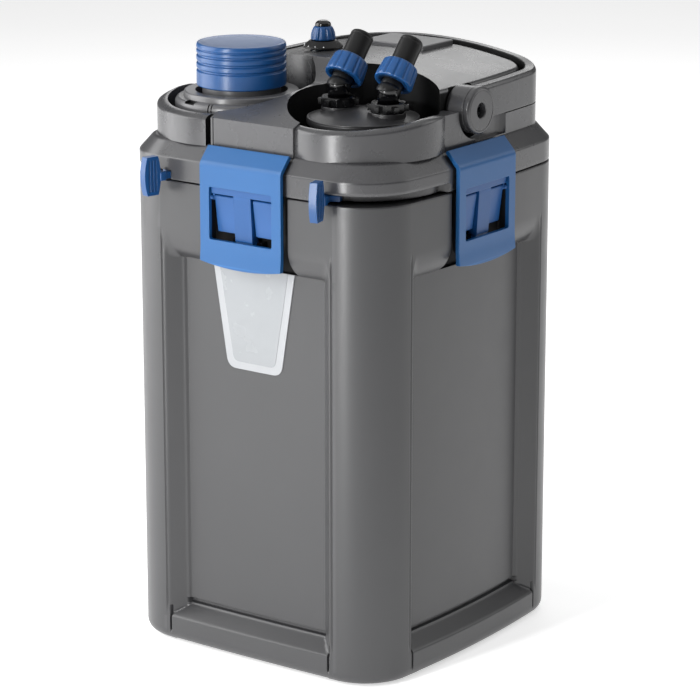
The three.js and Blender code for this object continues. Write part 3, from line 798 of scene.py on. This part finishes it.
def ring_wall(name, well, radius):
    """Wall of one well; its rounded rim falls outwards and towards the front."""
    inner = WELL_R + 0.9
    bend = [pi / 2 * k / 8 for k in range(9)]
    rim = [(inner + (radius - inner) * cos(a), sin(a)) for a in bend]
    rings = []
    for reach, share in [(radius, None), *rim, (30, 1)]:
        ring = []
        for angle in full_turn(160):
            x = well.x + reach * cos(angle)
            y = well.y + reach * sin(angle)
            low = min(RIM_FOOT_Z + 0.1 * (y - RIM_FOOT_Y), SIDE_TOP - 0.6)
            high = min(RIM_CREST_Z + 0.12 * (y - RIM_CREST_Y), RIM_TOP - 1.7 * smooth(y, -44, -28))
            ring.append((x, y, LEDGE - 1 if share is None else low + (high - low) * share))
        rings.append(ring)
    return painted(loft(name, rings), HEAD)


def ridge_line():
    """Side view (y, z) of the saddle's top, from the front wall up to the deck."""
    length = RIDGE_Y - SADDLE_FRONT
    front = [
        (y, RIDGE_TOP - 15.4 * ((RIDGE_Y - y) / length) ** 2)
        for y in spread((SADDLE_FRONT, 2.5), (RIDGE_Y, 1))
    ]
    nose = [(y, RIDGE_TOP + 11 * ((y - RIDGE_Y) / 20) ** 1.6) for y in spread((RIDGE_Y, 1.5), (NOSE_END, 1))]
    return front + nose[1:]


def saddle():
    outline = [(-y, z) for y, z in ridge_line()]
    outline += [(-NOSE_END, LEDGE - 1), (-SADDLE_FRONT, LEDGE - 1)]
    return painted(side_prism("saddle", outline, -SADDLE_HALF, SADDLE_HALF), HEAD)


def nose_room():
    """Room above the saddle's nose, cut out of the deck."""
    start = -46
    outline = [(-y, z - 0.3) for y, z in ridge_line() if y > start]
    outline += [(-NOSE_END, ABOVE), (-start, ABOVE)]
    return painted(side_prism("nose_room", outline, -30, 30), HEAD)


def openings():
    """Cutters for the two wells and for the recesses behind the handle's hubs."""
    cutters = []
    for well, finish in ((LEFT_WELL, HEAD), (RIGHT_WELL, MATT_BLACK)):
        cutters.append(painted(rod("well", WELL_R, WELL_FLOOR, 404, well.x, well.y, 160), finish))
    for sign in (-1, 1):
        # The recesses behind the hubs are cut with the near-black finish: painted shade round the hubs.
        cutters.append(painted(turned_out(rod("recess", BARREL_R + 3.6, 87.3, 125), sign), SHADE_AND_SEAM_DARK))
    return cutters


def wall_step(sign):
    """The wall under the handle steps back in front of a concave corner."""
    start, end, face, bend = PIVOT.y, 36.5, 96.4, 6
    corner = arc_points(face + bend, end, bend, 180, 90, 10)
    outline = [(130, start), (face, start), *corner, (130, end + bend)]
    return painted(prism("step", [(sign * x, y) for x, y in outline], LEDGE + 0.3, HANDLE_LOW + 4.6), HEAD)


def head_top():
    """Walls on the flange: the rear slab, the two ring walls and the saddle between them."""
    low, high, far = LEDGE - 2, 380, 125
    wall = painted(slab("head_walls", HEAD_INSET, LEDGE - 1, SIDE_TOP), HEAD)
    keep(wall, block("rear", -far, far, -36, far, low, high, HEAD))
    carve(wall, block("handle_room", -far, far, PIVOT.y, far, HANDLE_LOW - 0.4, high, HEAD))
    limit = painted(slab("limit", HEAD_INSET - 0.9, low, high), HEAD)
    weld(limit, block("front_left", -98, 0, -115, -80, low, high, HEAD))
    left_ring = keep(ring_wall("ring_left", LEFT_WELL, LEFT_RING_R), limit)
    weld(wall, left_ring, ring_wall("ring_right", RIGHT_WELL, RIGHT_RING_R), saddle())
    carve(
        wall, *openings(), wall_step(-1), wall_step(1),
        block("groove", -37.2, -33.6, -110, -98.6, low, high, SHADE_AND_SEAM_DARK),
        block("thin_groove", -31.9, -31.2, -110, -103.4, low, high, SHADE_AND_SEAM_DARK),
    )
    piece(soften(wall, 0.8), "root", "head")


def deck_ring(columns, inset, drop):
    ring = shell_ring(columns, 0, inset)
    return [(x, y, arch(x, DECK_TOP) - drop) for x, y, _ in ring]


def deck():
    columns = plan_columns(PLAIN_STOPS, 30)
    rings = [shell_ring(columns, LEDGE + 8, DECK_INSET), deck_ring(columns, DECK_INSET, 9)]
    rings += [deck_ring(columns, DECK_INSET + across, drop) for across, drop in quarter(2.2)]
    border = rings[-1]
    for share in (0.96, 0.88, 0.76, 0.62, 0.48, 0.34, 0.2, 0.08):
        rings.append([(x * share, y * share, arch(x * share, DECK_TOP)) for x, y, _ in border])
    cover = painted(loft("head_deck", rings), HEAD)
    # Painted shade: the deck's upright sides, across the groove from the handle, take the near-black finish.
    shaded(cover, SHADE_AND_SEAM_DARK, lambda centre, normal: abs(normal.z) < 0.05)
    dial = middle("heater_base")
    # The service lid's pocket and the heater's hole are cut with the near-black finish: painted shade in the
    # gaps round the lid and the cone.
    carve(
        cover, block("front", -130, 130, -130, -30, LEDGE, ABOVE, HEAD), nose_room(), *openings(),
        block("service_room", -26.2, 26.2, 52.8, 90.2, DECK_TOP - 2.6, 402, SHADE_AND_SEAM_DARK),
        painted(rod("heater_room", 9.6, LEDGE, 402, dial.x, dial.y, 48), SHADE_AND_SEAM_DARK),
    )
    piece(soften(cover, 0.7), "root", "head")


def service_cover():
    low, high = corners("service_cover")
    cover = block("service_lid", low.x, high.x, low.y, high.y, DECK_TOP - 2.4, DECK_TOP + 2.4)
    piece(soften(cover, 0.9), "root", "head", LIGHT_HEAD, ["service_cover"])


def cable_gland():
    """Nut and ribbed boot where the mains lead leaves the head."""
    low, high = corners("cable_gland")
    boot = [(3.3, 2), (9, 0, 0.4), (9, 6, 0.8), (6.6, 6.6)]
    for i in range(5):
        start = 7.2 + 2.2 * i
        wide = 6.4 - 0.42 * i
        boot += [(wide, start), (wide, start + 1.3), (wide - 0.8, start + 1.4), (wide - 0.8, start + 2.1)]
    boot += [(4.6, 18.5), (3.3, 18.5)]

    def hexed(radius, z, angle):
        if radius < 8 or z > 6.2:
            return radius
        return radius * cos(pi / 6) / cos((angle % (pi / 3)) - pi / 6) * 1.04

    gland = turned("cable_gland_boot", boot, 0.25, 2, 72, True, hexed)
    place(gland, turn=-90, axis="X")
    place(gland, ((low.x + high.x) / 2, low.y, (low.z + high.z) / 2))
    piece(soften(gland, 0), "root", "black", BLACK, ["cable_gland"])


# ---- carry handle


def handle_section(direction):
    x, _ = plan_point(direction, (HEAD_INSET + HANDLE_INSET) / 2)
    top = arch(x, HANDLE_TOP)
    outline = rounded([
        (HEAD_INSET, HANDLE_LOW, 0.8), (HEAD_INSET, top - 2.4, 1.0), (HEAD_INSET + 1.5, top, 1.0),
        (HANDLE_INSET, top, 0.9), (HANDLE_INSET, HANDLE_LOW, 0.8),
    ], 1, 4, closed=True)
    return [(*plan_point(direction, inset), z) for inset, z in outline]


def handle_hub(sign):
    """Round hub of one arm, with its opening for the pivot screw."""
    bore, start, end = 5.25, 88, 101.5
    outline = [(bore, start), (BARREL_R, start, 0.8), (BARREL_R, end, 0.5), (bore, end)]
    return turned_out(turned("hub", outline, hollow=True), sign)


def turned_out(obj, sign):
    """Lays an upright part along X, pointing out from the pivot on one side."""
    return place(place(obj, turn=90 * sign, axis="Y"), (0, PIVOT.y, PIVOT.z))


def carry_handle():
    columns = plan_columns(PLAIN_STOPS, 36)
    start = side_direction(1, PIVOT.y)
    directions = [start]
    for side, along in columns:
        direction = along if side is None else side_direction(side, along)
        if start + 0.01 < direction < pi - start - 0.01:
            directions.append(direction)
    directions.append(pi - start)
    bow_part = loft("handle_bow", [handle_section(direction) for direction in directions])
    handle = painted(joined(bow_part, handle_hub(-1), handle_hub(1)), HEAD)

    # Painted shade: the handle's inner side, facing the deck across the groove, takes the near-black finish.
    def shade_faces_inward(centre, normal):
        return abs(centre.x) < 93 and normal.x * centre.x + normal.y * centre.y < -60

    shaded(handle, SHADE_AND_SEAM_DARK, shade_faces_inward)
    piece(soften(handle, 0), "handle", "head", None, ["carry_handle"])


def pivots():
    for side, sign in (("left", -1), ("right", 1)):
        cap = turned("handle_cap_" + side, [
            (5, 101.9), (15.7, 101.9, 0.3), (15.7, 105.2, 0.7), (14.6, 106.2, 0.5), (13.6, 106.2, 0.2),
            (13.4, 105.9, 0.2), (13.0, 106.2, 0.2), (5.5, 106.2, 0.3), (5, 105.7, 0.3),
        ], 0.3, hollow=True)
        piece(soften(turned_out(cap, sign), 0), "handle", "head", HEAD, ["pivot_cap_" + side])
        head_outline = [(0, 101.2), (4.6, 101.2), (4.6, 103, 0.5), (0, 103.5)]
        head = turned("handle_screw_" + side, head_outline, steps=48)
        carve(head, *[place(block("star", -3, 3, -0.75, 0.75, 102, 105), turn=60 * i) for i in range(3)])
        piece(soften(turned_out(head, sign), 0.1, 2), "root", "steel", DARK_STEEL, ["pivot_screw_" + side])


# ---- pre-filter


def at_well(obj, well):
    return place(obj, (well.x, well.y, 0))


def prefilter_lid():
    lid = painted(turned("prefilter_top", [
        (0, 347), (34.8, 347, 1), (34.8, 362.5), (43.4, 363.4, 1), (44.6, 365, 1), (44.6, 370.4, 2.4),
        (42.8, 372.9, 1), (38.6, 373.2, 0.3), (38.5, 376.2), (37.8, 377, 0.6), (30.8, 377, 0.4),
        (30.8, 366.5, 0.4), (26.2, 366.5, 0.4), (26.2, 388), (23, 388), (23, 362), (0, 362),
    ], 0.5, 4, 144), LIGHT_HEAD)
    cutters = [place(block("slot", 38.9, 44, -5, 5, 371.4, 374.4, SHADE_AND_SEAM_DARK), turn=-105)]
    for angle in (-82, -79, -47):
        cutters.append(place(block("seam", 41, 46, -0.4, 0.4, 362, 374.4, SHADE_AND_SEAM_DARK), turn=angle))
    carve(lid, *cutters)
    piece(soften(at_well(lid, LEFT_WELL), 0.25, 2), "prefilter", "head", None, ["prefilter_lid"])


def primer_button():
    side, deep = 30, 28.9
    grooves = []
    for z in (401.2, 396.2, 391.2):
        grooves += [(side, z + 1), (deep, z + 0.5, 0.4), (deep, z - 0.5, 0.4), (side, z - 1)]
    outline = [
        (0, 408.1), (12, 408.15), (24, 408.5), (27.9, 409, 0.6), (29.4, 408.7, 0.9), (side, 407, 0.8),
        (side, 405.7, 0.4), (29.2, 405.2, 0.3), (29.2, 404.7, 0.3), (side, 404.2, 0.4), *grooves,
        (side, 380.6, 0.6), (29, 380, 0.4), (26.6, 380, 0.4), (26.6, 404), (0, 404),
    ]
    cap = at_well(turned("primer_cap", outline, 0.5, 4, 144), LEFT_WELL)
    piece(soften(cap, 0), "primer", "blue", BLUE, ["primer_button"])


def wire(name, path, radius):
    """Round bar along a list of points."""
    rings = []
    for i, point in enumerate(path):
        before = Vector(path[max(i - 1, 0)])
        after = Vector(path[min(i + 1, len(path) - 1)])
        along = (after - before).normalized()
        flat = along.cross(Vector((0, 0, 1))).normalized()
        up = flat.cross(along)
        spokes = [flat * cos(a) + up * sin(a) for a in full_turn(10)]
        rings.append([Vector(point) + radius * spoke for spoke in spokes])
    return loft(name, rings)


def primer_spring():
    low, high = corners("primer_spring")
    turns, per_turn, coil_r, wire_r = 4, 28, 18, 1.1
    path = []
    for i in range(turns * per_turn + 1):
        angle = 2 * pi * i / per_turn
        z = low.z + wire_r + (high.z - low.z - 2 * wire_r) * i / (turns * per_turn)
        path.append((coil_r * cos(angle), coil_r * sin(angle), z))
    spring = at_well(wire("primer_coil", path, wire_r), LEFT_WELL)
    piece(soften(spring, 0), "prefilter", "steel", STEEL, ["primer_spring"])
    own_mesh(spring)


def prefilter_cage():
    """Cage of the cartridge: two end plates on a riser pipe."""
    low, high = corners("prefilter_core")
    bore, pipe, plate = 9.5, 12.5, 31
    cage = turned("prefilter_cage", [
        (bore, low.z), (plate, low.z, 0.8), (plate, 99.7, 0.8), (pipe, 99.7), (pipe, 340),
        (plate, 340, 0.8), (plate, high.z, 0.8), (bore, high.z),
    ], 0.5, 3, 72, True)
    piece(soften(at_well(cage, LEFT_WELL), 0), "prefilter", "tray", TRAY, ["prefilter_core"])


def prefilter_foam():
    random.seed(7)
    wobble = [random.uniform(-0.25, 0.25) for _ in range(64)]
    flutes = 18

    def ribbed(radius, z, angle):
        if radius < 20:
            return radius
        noise = wobble[int(z / 6) % 64] * sin(3 * angle + z / 20)
        return radius - 1.1 * (0.5 - 0.5 * cos(flutes * angle)) ** 3 + noise

    outer = [(29.6, z) for z in spread((101.5, 6), (338.5, 6))]
    profile = [(13.2, 100.3), (28.4, 100.3), *outer, (28.4, 339.4), (13.2, 339.4)]
    foam = at_well(lathe("prefilter_sleeve", profile, 144, True, ribbed), LEFT_WELL)
    piece(soften(foam, 0), "prefilter", "foam", FOAM, ["prefilter_foam"])


def media():
    """Copies of the trays' CAD fillings, with rounded and evened faces."""
    for name in ("bottom", "middle", "top"):
        pad = linked(name + "_filling", frame["nodes"][name + "_media"].data.copy())
        bevel = pad.modifiers.new("round", "BEVEL")
        bevel.width = 3 * MM
        bevel.segments = 3
        remesh = pad.modifiers.new("even", "REMESH")
        remesh.mode = "VOXEL"
        remesh.voxel_size = 4 * MM
        pad.modifiers.new("relax", "SMOOTH").iterations = 3
        bpy.context.view_layer.update()
        pad = soften(apply_modifiers(pad), 0)
        if name == "bottom":
            piece(pad, "root", "ceramic", CERAMIC, [name + "_media"])
        else:
            piece(pad, "root", "foam", FOAM, [name + "_media"])


# ---- hose adapter


def port_x(side):
    return middle(f"elbow_{side}").x


def adapter():
    """Domed disc with a rim, and a collar and a spigot for each hose."""
    top, dome_r, dome_fall = 374.6, 33.2, 4.3
    outline = [
        (0, 352.3), (34, 352.3, 0.8), (34, 364, 0.4), (37, 365.2, 0.8), (37, 368.8, 1.2),
        (35.2, 369.8, 0.8), (33.4, 370.2),
    ]
    profile = [tuple(p) for p in rounded(outline, 0.5, 4)]
    dome = [(sin(a), 1 - cos(a)) for a in (0.62 * i / 14 for i in range(15))]
    reach, fall = dome[-1]
    profile += [(dome_r * out / reach, top - dome_fall * down / fall) for out, down in reversed(dome)]
    parts = []
    for side in ("left", "right"):
        x = port_x(side) - RIGHT_WELL.x
        collar = turned("collar", [(0, 366), (11.6, 366), (11.4, top, 0.6), (0, top)], 0.5, steps=64)
        parts += [place(collar, (x, 0, 0)), rod("spigot", 8.5, 336, 356, x, 0, 48)]
    rim = [(35.4, 366), (36.9, 366, 0.3), (36.9, 369.8, 0.6), (35.4, 369.8, 0.5)]
    parts.append(turned("adapter_rim", rim, steps=144, hollow=True))
    disc = joined(lathe("adapter_plate", profile, 144), *parts)
    piece(soften(at_well(disc, RIGHT_WELL), 0), "adapter", "black", DISC, ["adapter_disc"])


def hex_nut(side):
    """Flat hexagon with chamfered faces and a lug on each corner."""
    low, high = 375, 380.8
    nut = prism(f"adapter_nut_{side}", arc_points(0, 0, 12.6, 0, 300, 5), low, high)
    under, over = low - 1, high + 0.4
    crown = [(0, under), (11.4, under), (13.2, low + 1.6), (13.2, high - 1.6), (11.4, over), (0, over)]
    keep(nut, lathe("crown", crown, 64))
    carve(nut, rod("bore", 7.4, low - 2, high + 2, steps=64))
    lug_z = (low + 0.6, high - 1.4)
    weld(nut, *[place(block("lug", 10.6, 13.4, -1.7, 1.7, *lug_z), turn=60 * i + 30) for i in range(6)])
    place(soften(nut, 0.45), (port_x(side), RIGHT_WELL.y, 0))
    piece(nut, "adapter", "black", BLACK, [f"gland_nut_{side}"])


def port_place(side):
    return port_x(side), RIGHT_WELL.y, BALL_Z


def tilted(obj, side):
    """Moves an upright part, made round the ball joint's centre, onto the tilted outlet."""
    return place(place(obj, turn=-PORT_TILT, axis="X"), port_place(side))


def elbow(side):
    """Upright neck under a round hood, with the arm that carries the hose."""
    hood_r = 8.5
    neck = painted(rod(f"hose_elbow_{side}", 7.1, -11.4, 4, steps=64), BLACK)
    bends = [pi * i / 48 for i in range(8, 25)]
    hood = [(0, 2.6), (7.4, 2.6, 0.4), (7.9, 3.2, 0.5)]
    hood += [(hood_r * cos(a), hood_r * sin(a), 0) for a in bends]
    hood = painted(turned("hood", hood, 0, steps=64), MATT_BLACK)
    arm = turned("arm", [(0, 0), (7.3, 0), (7.3, 14.6, 0.4), (0, 14.6)], steps=64)
    weld(neck, hood, painted(place(arm, turn=-PORT_TILT, axis="X"), MATT_BLACK))
    place(neck, port_place(side))
    piece(soften(neck, 0), f"elbow_{side}_body", "black", None, [f"elbow_{side}"])


def nozzle(side):
    bore, outer = 5.5, 7.8
    pipe = turned(f"hose_spout_{side}", [
        (bore, 15), (outer, 15), (outer, 37.6), (7.6, 38.2), (outer, 38.8), (7.75, 39.8, 0.8),
        (7.1, 41, 0.4), (bore, 41, 0.4),
    ], 0.3, 3, 72, True)
    piece(soften(tilted(pipe, side), 0), f"elbow_{side}_body", "black", MATT_BLACK, [f"hose_nozzle_{side}"])


def fluted(count, depth, sharpness, rise, fall, core):
    """Shape for lathe: narrow grooves outside the core, faded over the heights rise and fall."""

    def shape(radius, z, angle):
        if radius < core:
            return radius
        share = 0.5 + 0.5 * cos(count * angle)
        return radius - depth * share ** sharpness * smooth(z, *rise) * smooth(z, *fall)

    return shape


def union_nut(side):
    """Tapered nut with broad flats between narrow finger grooves."""
    bore = 8.15
    profile = [
        (bore, 7.5), (12.1, 7.5), (12.7, 7.7), (13, 8.4), (12.95, 9.6), (12.85, 11.5), (12.6, 14),
        (12.3, 17), (12.05, 19.5), (11.9, 20.6), (11.5, 21.3), (10.9, 21.6), (bore, 21.6),
    ]
    flutes = fluted(12, 0.9, 6, (7.4, 9.2), (21.8, 20.4), 10)
    nut = lathe(f"hose_nut_{side}", profile, 216, True, flutes)
    piece(soften(tilted(nut, side), 0), f"union_{side}_body", "blue", BLUE, [f"union_nut_{side}"])


# ---- lock levers


def sector(name, inner, outer, angles, low, high, steps):
    """Flat piece of a ring between two bearings."""
    start, end = angles
    outline = arc_points(0, 0, outer, start, end, steps) + arc_points(0, 0, inner, end, start, steps)
    return prism(name, outline, low, high)


def lock_lever(side, well, angle, sign):
    """Ring sector, neck and ribbed paddle, made along X and turned into place."""
    low, high = SEAM + 1, SEAM + 5.5
    ring_turn = sorted((-8 * sign, 36 * sign))
    wing_turn = sorted((-3 * sign, 8.5 * sign))
    ring = soften(sector(f"lock_handle_{side}", 50.5, 54.2, ring_turn, low, high, 24), 0.4, 2)
    wing = soften(sector("wing", 52, 61, wing_turn, low + 0.2, high - 0.2, 10), 0.5, 2)
    neck = soften(block("neck", 53, 72, -2.6, 2.6, low, high))
    collar = soften(block("collar", 66.5, 71.4, -3.3, 3.3, low - 0.8, high + 0.8), 0.8)
    bulge = [(6.6 - 2.1 * t * t, 12.9 * t) for t in (-1 + i / 12 for i in range(25))]
    barrel = bulge + [(-x, -z) for x, z in bulge]
    paddle = place(prism("paddle", barrel, -2.7, 2.7), turn=90, axis="X")
    carve(paddle, *[
        block("groove", x - 0.6, x + 0.6, y0, y1, -10.5, 10.5)
        for x in (-2.6, 0, 2.6) for y0, y1 in ((-4, -1.8), (1.8, 4))
    ])
    place(soften(paddle), (77.2, 0, (low + high) / 2 + 1))
    lever = joined(ring, wing, neck, collar, paddle)
    place(place(lever, turn=angle), (well.x, well.y, 0))
    piece(lever, f"lock_{side}_body", "blue", BLUE, [f"lock_lever_{side}"])


# ---- heater


def heater():
    """Cone with a dotted scale, under a grooved ring with a black dome."""
    centre = middle("heater_base")
    slope = [(0, 396.2), (13.6, 396.2, 0.3), (13.5, 397.4, 0.5), (9.2, 401.3, 0.5), (0, 401.3)]
    cone = turned("heater_cone", slope, 0.4, 4, 72)
    dots = []
    for angle in (-66, -40, -14, 12, 38):
        dot = place(rod("heater_scale", 0.45, -0.2, 0.35, steps=20), turn=48, axis="X")
        dots.append(place(place(dot, (0, -12.95, 398)), turn=angle))
    ring = [
        (3, 401.7), (8.1, 401.7), (8.6, 402.2), (8.65, 403.2), (8.4, 405.2), (7.9, 407), (7.2, 408.8),
        (6.5, 410), (5.9, 410.7), (5.5, 410.9), (3, 410.9),
    ]
    flutes = fluted(10, 0.8, 5, (402, 403), (410.6, 409), 4)
    dome = [(0, 411.1), (5.6, 411.1, 0.3), (5.3, 413, 1.2), (3.2, 414.7, 1.5), (0, 415)]
    for part, body, slot, finish, nodes in (
        (cone, "heater", "black", MATT_BLACK, ["heater_base"]),
        (joined(*dots), "heater", "black", MARK, []),
        (lathe("heater_dial_ring", ring, 160, True, flutes), "heater_dial", "blue", BLUE, ["heater_knob"]),
        (turned("heater_dome", dome, 0.4, 5, 64), "heater_dial", "black", BLACK, ["heater_knob_cap"]),
    ):
        piece(soften(place(part, (centre.x, centre.y, 0)), 0), body, slot, finish, nodes)


# ---- clamps

LIP = Vector((-HEAD_INSET, LEDGE - FLANGE_TOP)).normalized()
LIP_OUT = Vector((LIP.y, -LIP.x))


def lip_point(along, off, radius):
    point = Vector((0, FLANGE_TOP)) + LIP * along + LIP_OUT * off
    return point.x, point.y, radius


def side_prism(name, outline, x0, x1):
    """Outline given as (out, up), out towards the front, extruded from x0 to x1."""
    rings = [[(x, -out, up) for out, up in outline] for x in (x0, x1)]
    return loft(name, rings)


def to_side(obj, side):
    face = HALF_DEPTH if side % 2 == 0 else HALF_WIDTH
    return place(place(obj, (0, -face, 0)), turn=90 * side)


def clamp_plate():
    """Bent plate of the lever, with its window and its curved lower edge."""
    low, bend, scoop_r = 270.6, 284, 180
    outline = rounded([
        (CLAMP_IN + 0.6, low, 0), (CLAMP_OUT + 0.9, low, 0), (CLAMP_OUT + 0.7, 276, 3), (CLAMP_OUT, bend, 4),
        (CLAMP_OUT, FLANGE_TOP + 1.1, 2.6), lip_point(12.6, 3.4, 0.9), lip_point(12.6, 0.6, 0.6),
        (CLAMP_IN, FLANGE_TOP + 0.2, 1), (CLAMP_IN, bend, 1),
    ], 1, 5, closed=True)
    plate = side_prism("clamp", outline, -CLAMP_HALF, CLAMP_HALF)
    lower_edge = arc_points(0, 272 + scoop_r, scoop_r, 258, 282, 24)
    half, sill, top = 25.5, 290, 325
    window = rounded([(-half, sill), (half, sill), (half, top), (-half, top)], 1.6, 4, closed=True)
    for shape, back, front in (([*lower_edge, (40, 260), (-40, 260)], -10, 15), (window, -12, 12)):
        cutter = prism("cutter", [(x, -z) for x, z in shape], back, front)
        carve(plate, place(cutter, turn=-90, axis="X"))
    return soften(plate, 0.9, 4)


def mirrored(name, outline, bend, fine, x0, x1):
    """Two equal side_prism blocks, left and right of the clamp's middle."""
    shape = rounded(outline, bend, fine, closed=True)
    return [side_prism(name, shape, *ends) for ends in ((-x1, -x0), (x0, x1))]


def clamp_cheeks():
    """Cheeks of the lever, behind its frame on both sides of the window, drawn near-black as painted shade.
    """
    outline = [(-4, 284), (0.9, 280), (0.9, 322.4), (-4, 322.4)]
    return joined(*[soften(part, 0.4, 2) for part in mirrored("cheek", outline, 0.8, 3, 25.8, 29.6)])


def finger_panels():
    """Two sloped panels behind the window, left and right of the link's stem."""
    outline = [(0.3, 318.8), (-1.8, 319.6), (-5, 294.8), (-3, 294.2)]
    return joined(*[soften(part, 0.8) for part in mirrored("finger_panel", outline, 1, 4, 8, 23.2)])


def clamp_link():
    """Crossbar and stem of the draw link, with its two studs and the eye round its anchor pin."""
    bar = rounded([(-1.9, 320.4), (1.6, 320.2), (1.9, 325.4), (-1.9, 325.4)], 0.6, 3, closed=True)
    stem = rounded([
        (-1.6, 323), (-7, 291), (-7.6, 286), (-4, 285.2), (-0.4, 290.4), (1.4, 318), (1.4, 323),
    ], 0.6, 3, closed=True)
    parts = [
        soften(side_prism("link", bar, -24.9, 24.9), 0.5),
        soften(side_prism("stem", stem, -7, 7), 0.7),
        *mirrored("web", [(-1.9, 315.8), (0.2, 315.8), (0.2, 321.4), (-1.9, 321.4)], 0.6, 3, 23.5, 24.8),
    ]
    for turn in (-90, 90):
        stud = place(rod("stud", 1.4, 23.8, 29.4, steps=24), turn=turn, axis="Y")
        parts.append(place(stud, (0, -0.6, TILT_Z)))
    eye = place(rod("eye", 3.4, -7, 7, steps=36), turn=90, axis="Y")
    return joined(*parts, place(eye, (0, 5.8, ANCHOR_Z)))


def clamps():
    for side, name in enumerate(("front", "right", "back", "left")):
        lever, link = f"clamp_{name}", f"link_{name}"
        for kind, make, body, finish, nodes in (
            ("plate", clamp_plate, lever, CLAMP, [f"clamp_lever_{name}"]),
            # Painted shade: the cheeks take the near-black finish.
            ("cheeks", clamp_cheeks, lever, SHADE_AND_SEAM_DARK, []),
            # Painted shade: the grip panels and the tee take the darker copy of the clamp blue.
            ("grip", finger_panels, lever, CLAMP_SHADED_BLUE, []),
            ("tee", clamp_link, link, CLAMP_SHADED_BLUE, [f"clamp_link_{name}"]),
        ):
            made = make()
            made.name = f"clamp_{kind}_{name}"
            piece(to_side(made, side), body, "clamp", finish, nodes)


# ---- studio


def aimed(name, data, location, aim):
    """Camera or light that looks along aim."""
    made = linked(name, data)
    made.location = location
    made.rotation_mode = "QUATERNION"
    made.rotation_quaternion = aim.to_track_quat("-Z", "Y")
    return made


def camera():
    """Long lens from the front right, a little above the head."""
    target = Vector((2.0, 1.4, 193.3)) * MM
    azimuth, elevation, distance = radians(35.965), radians(15.167), 2084.4 * MM
    level = cos(elevation)
    back = Vector((sin(azimuth) * level, -cos(azimuth) * level, sin(elevation)))
    data = bpy.data.cameras.new("camera")
    data.lens = 156.17
    data.sensor_width = 36
    bpy.context.scene.camera = aimed("camera", data, target + back * distance, -back)


def soft_box(name, azimuth, reach, height, size, power):
    """Light aimed at the object's middle, at a bearing in degrees from +X; metres and watts."""
    turn = radians(azimuth)
    place_at = Vector((reach * cos(turn), reach * sin(turn), height))
    data = bpy.data.lights.new(name, "AREA")
    data.shape = "RECTANGLE"
    data.size, data.size_y = size
    data.energy = power
    aimed(name, data, place_at, Vector((0, 0, 0.22)) - place_at)


def studio():
    soft_box("ceiling", 90, 0.3, 2.6, (4.4, 4.4), 36)
    soft_box("left_window", -150, 1.5, 0.75, (1.4, 1.5), 23)
    soft_box("front_strip", -94, 1.2, 0.55, (0.1, 1.3), 12)
    soft_box("right_panel", 50, 2.0, 1.2, (1.2, 1.0), 5)
    soft_box("back_panel", 121, 2.0, 1.2, (1.2, 0.56), 4.6)
    world = bpy.data.worlds.new("studio")
    world.use_nodes = True
    background = world.node_tree.nodes["Background"]
    background.inputs["Color"].default_value = (1, 1, 1, 1)
    background.inputs["Strength"].default_value = 0.15
    bpy.context.scene.world = world
    bpy.context.scene.view_settings.view_transform = "Standard"


def floor():
    far = 12000
    sheet = solid("floor", [(-far, -far, 0), (far, -far, 0), (far, far, 0), (-far, far, 0)], [(0, 1, 2, 3)])
    finish = Finish("floor_paper", "#fbfbfb", 0.9).mottled(3, 0.01).brushed(0.03).grained(200, 0.02)
    finish.shader.inputs["Emission Color"].default_value = (1, 1, 1, 1)
    finish.shader.inputs["Emission Strength"].default_value = 0.55
    painted(sheet, finish.material)


# ---- assembly

camera()
studio()
floor()
dress_cad_nodes()
tub()
badge()
feet()
flange()
head_top()
deck()
service_cover()
cable_gland()
carry_handle()
pivots()
prefilter_lid()
primer_button()
primer_spring()
prefilter_cage()
prefilter_foam()
media()
adapter()
for port_side in ("left", "right"):
    hex_nut(port_side)
    elbow(port_side)
    nozzle(port_side)
    union_nut(port_side)
lock_lever("left", LEFT_WELL, -103.2, -1)
lock_lever("right", RIGHT_WELL, -76.7, 1)
heater()
clamps()
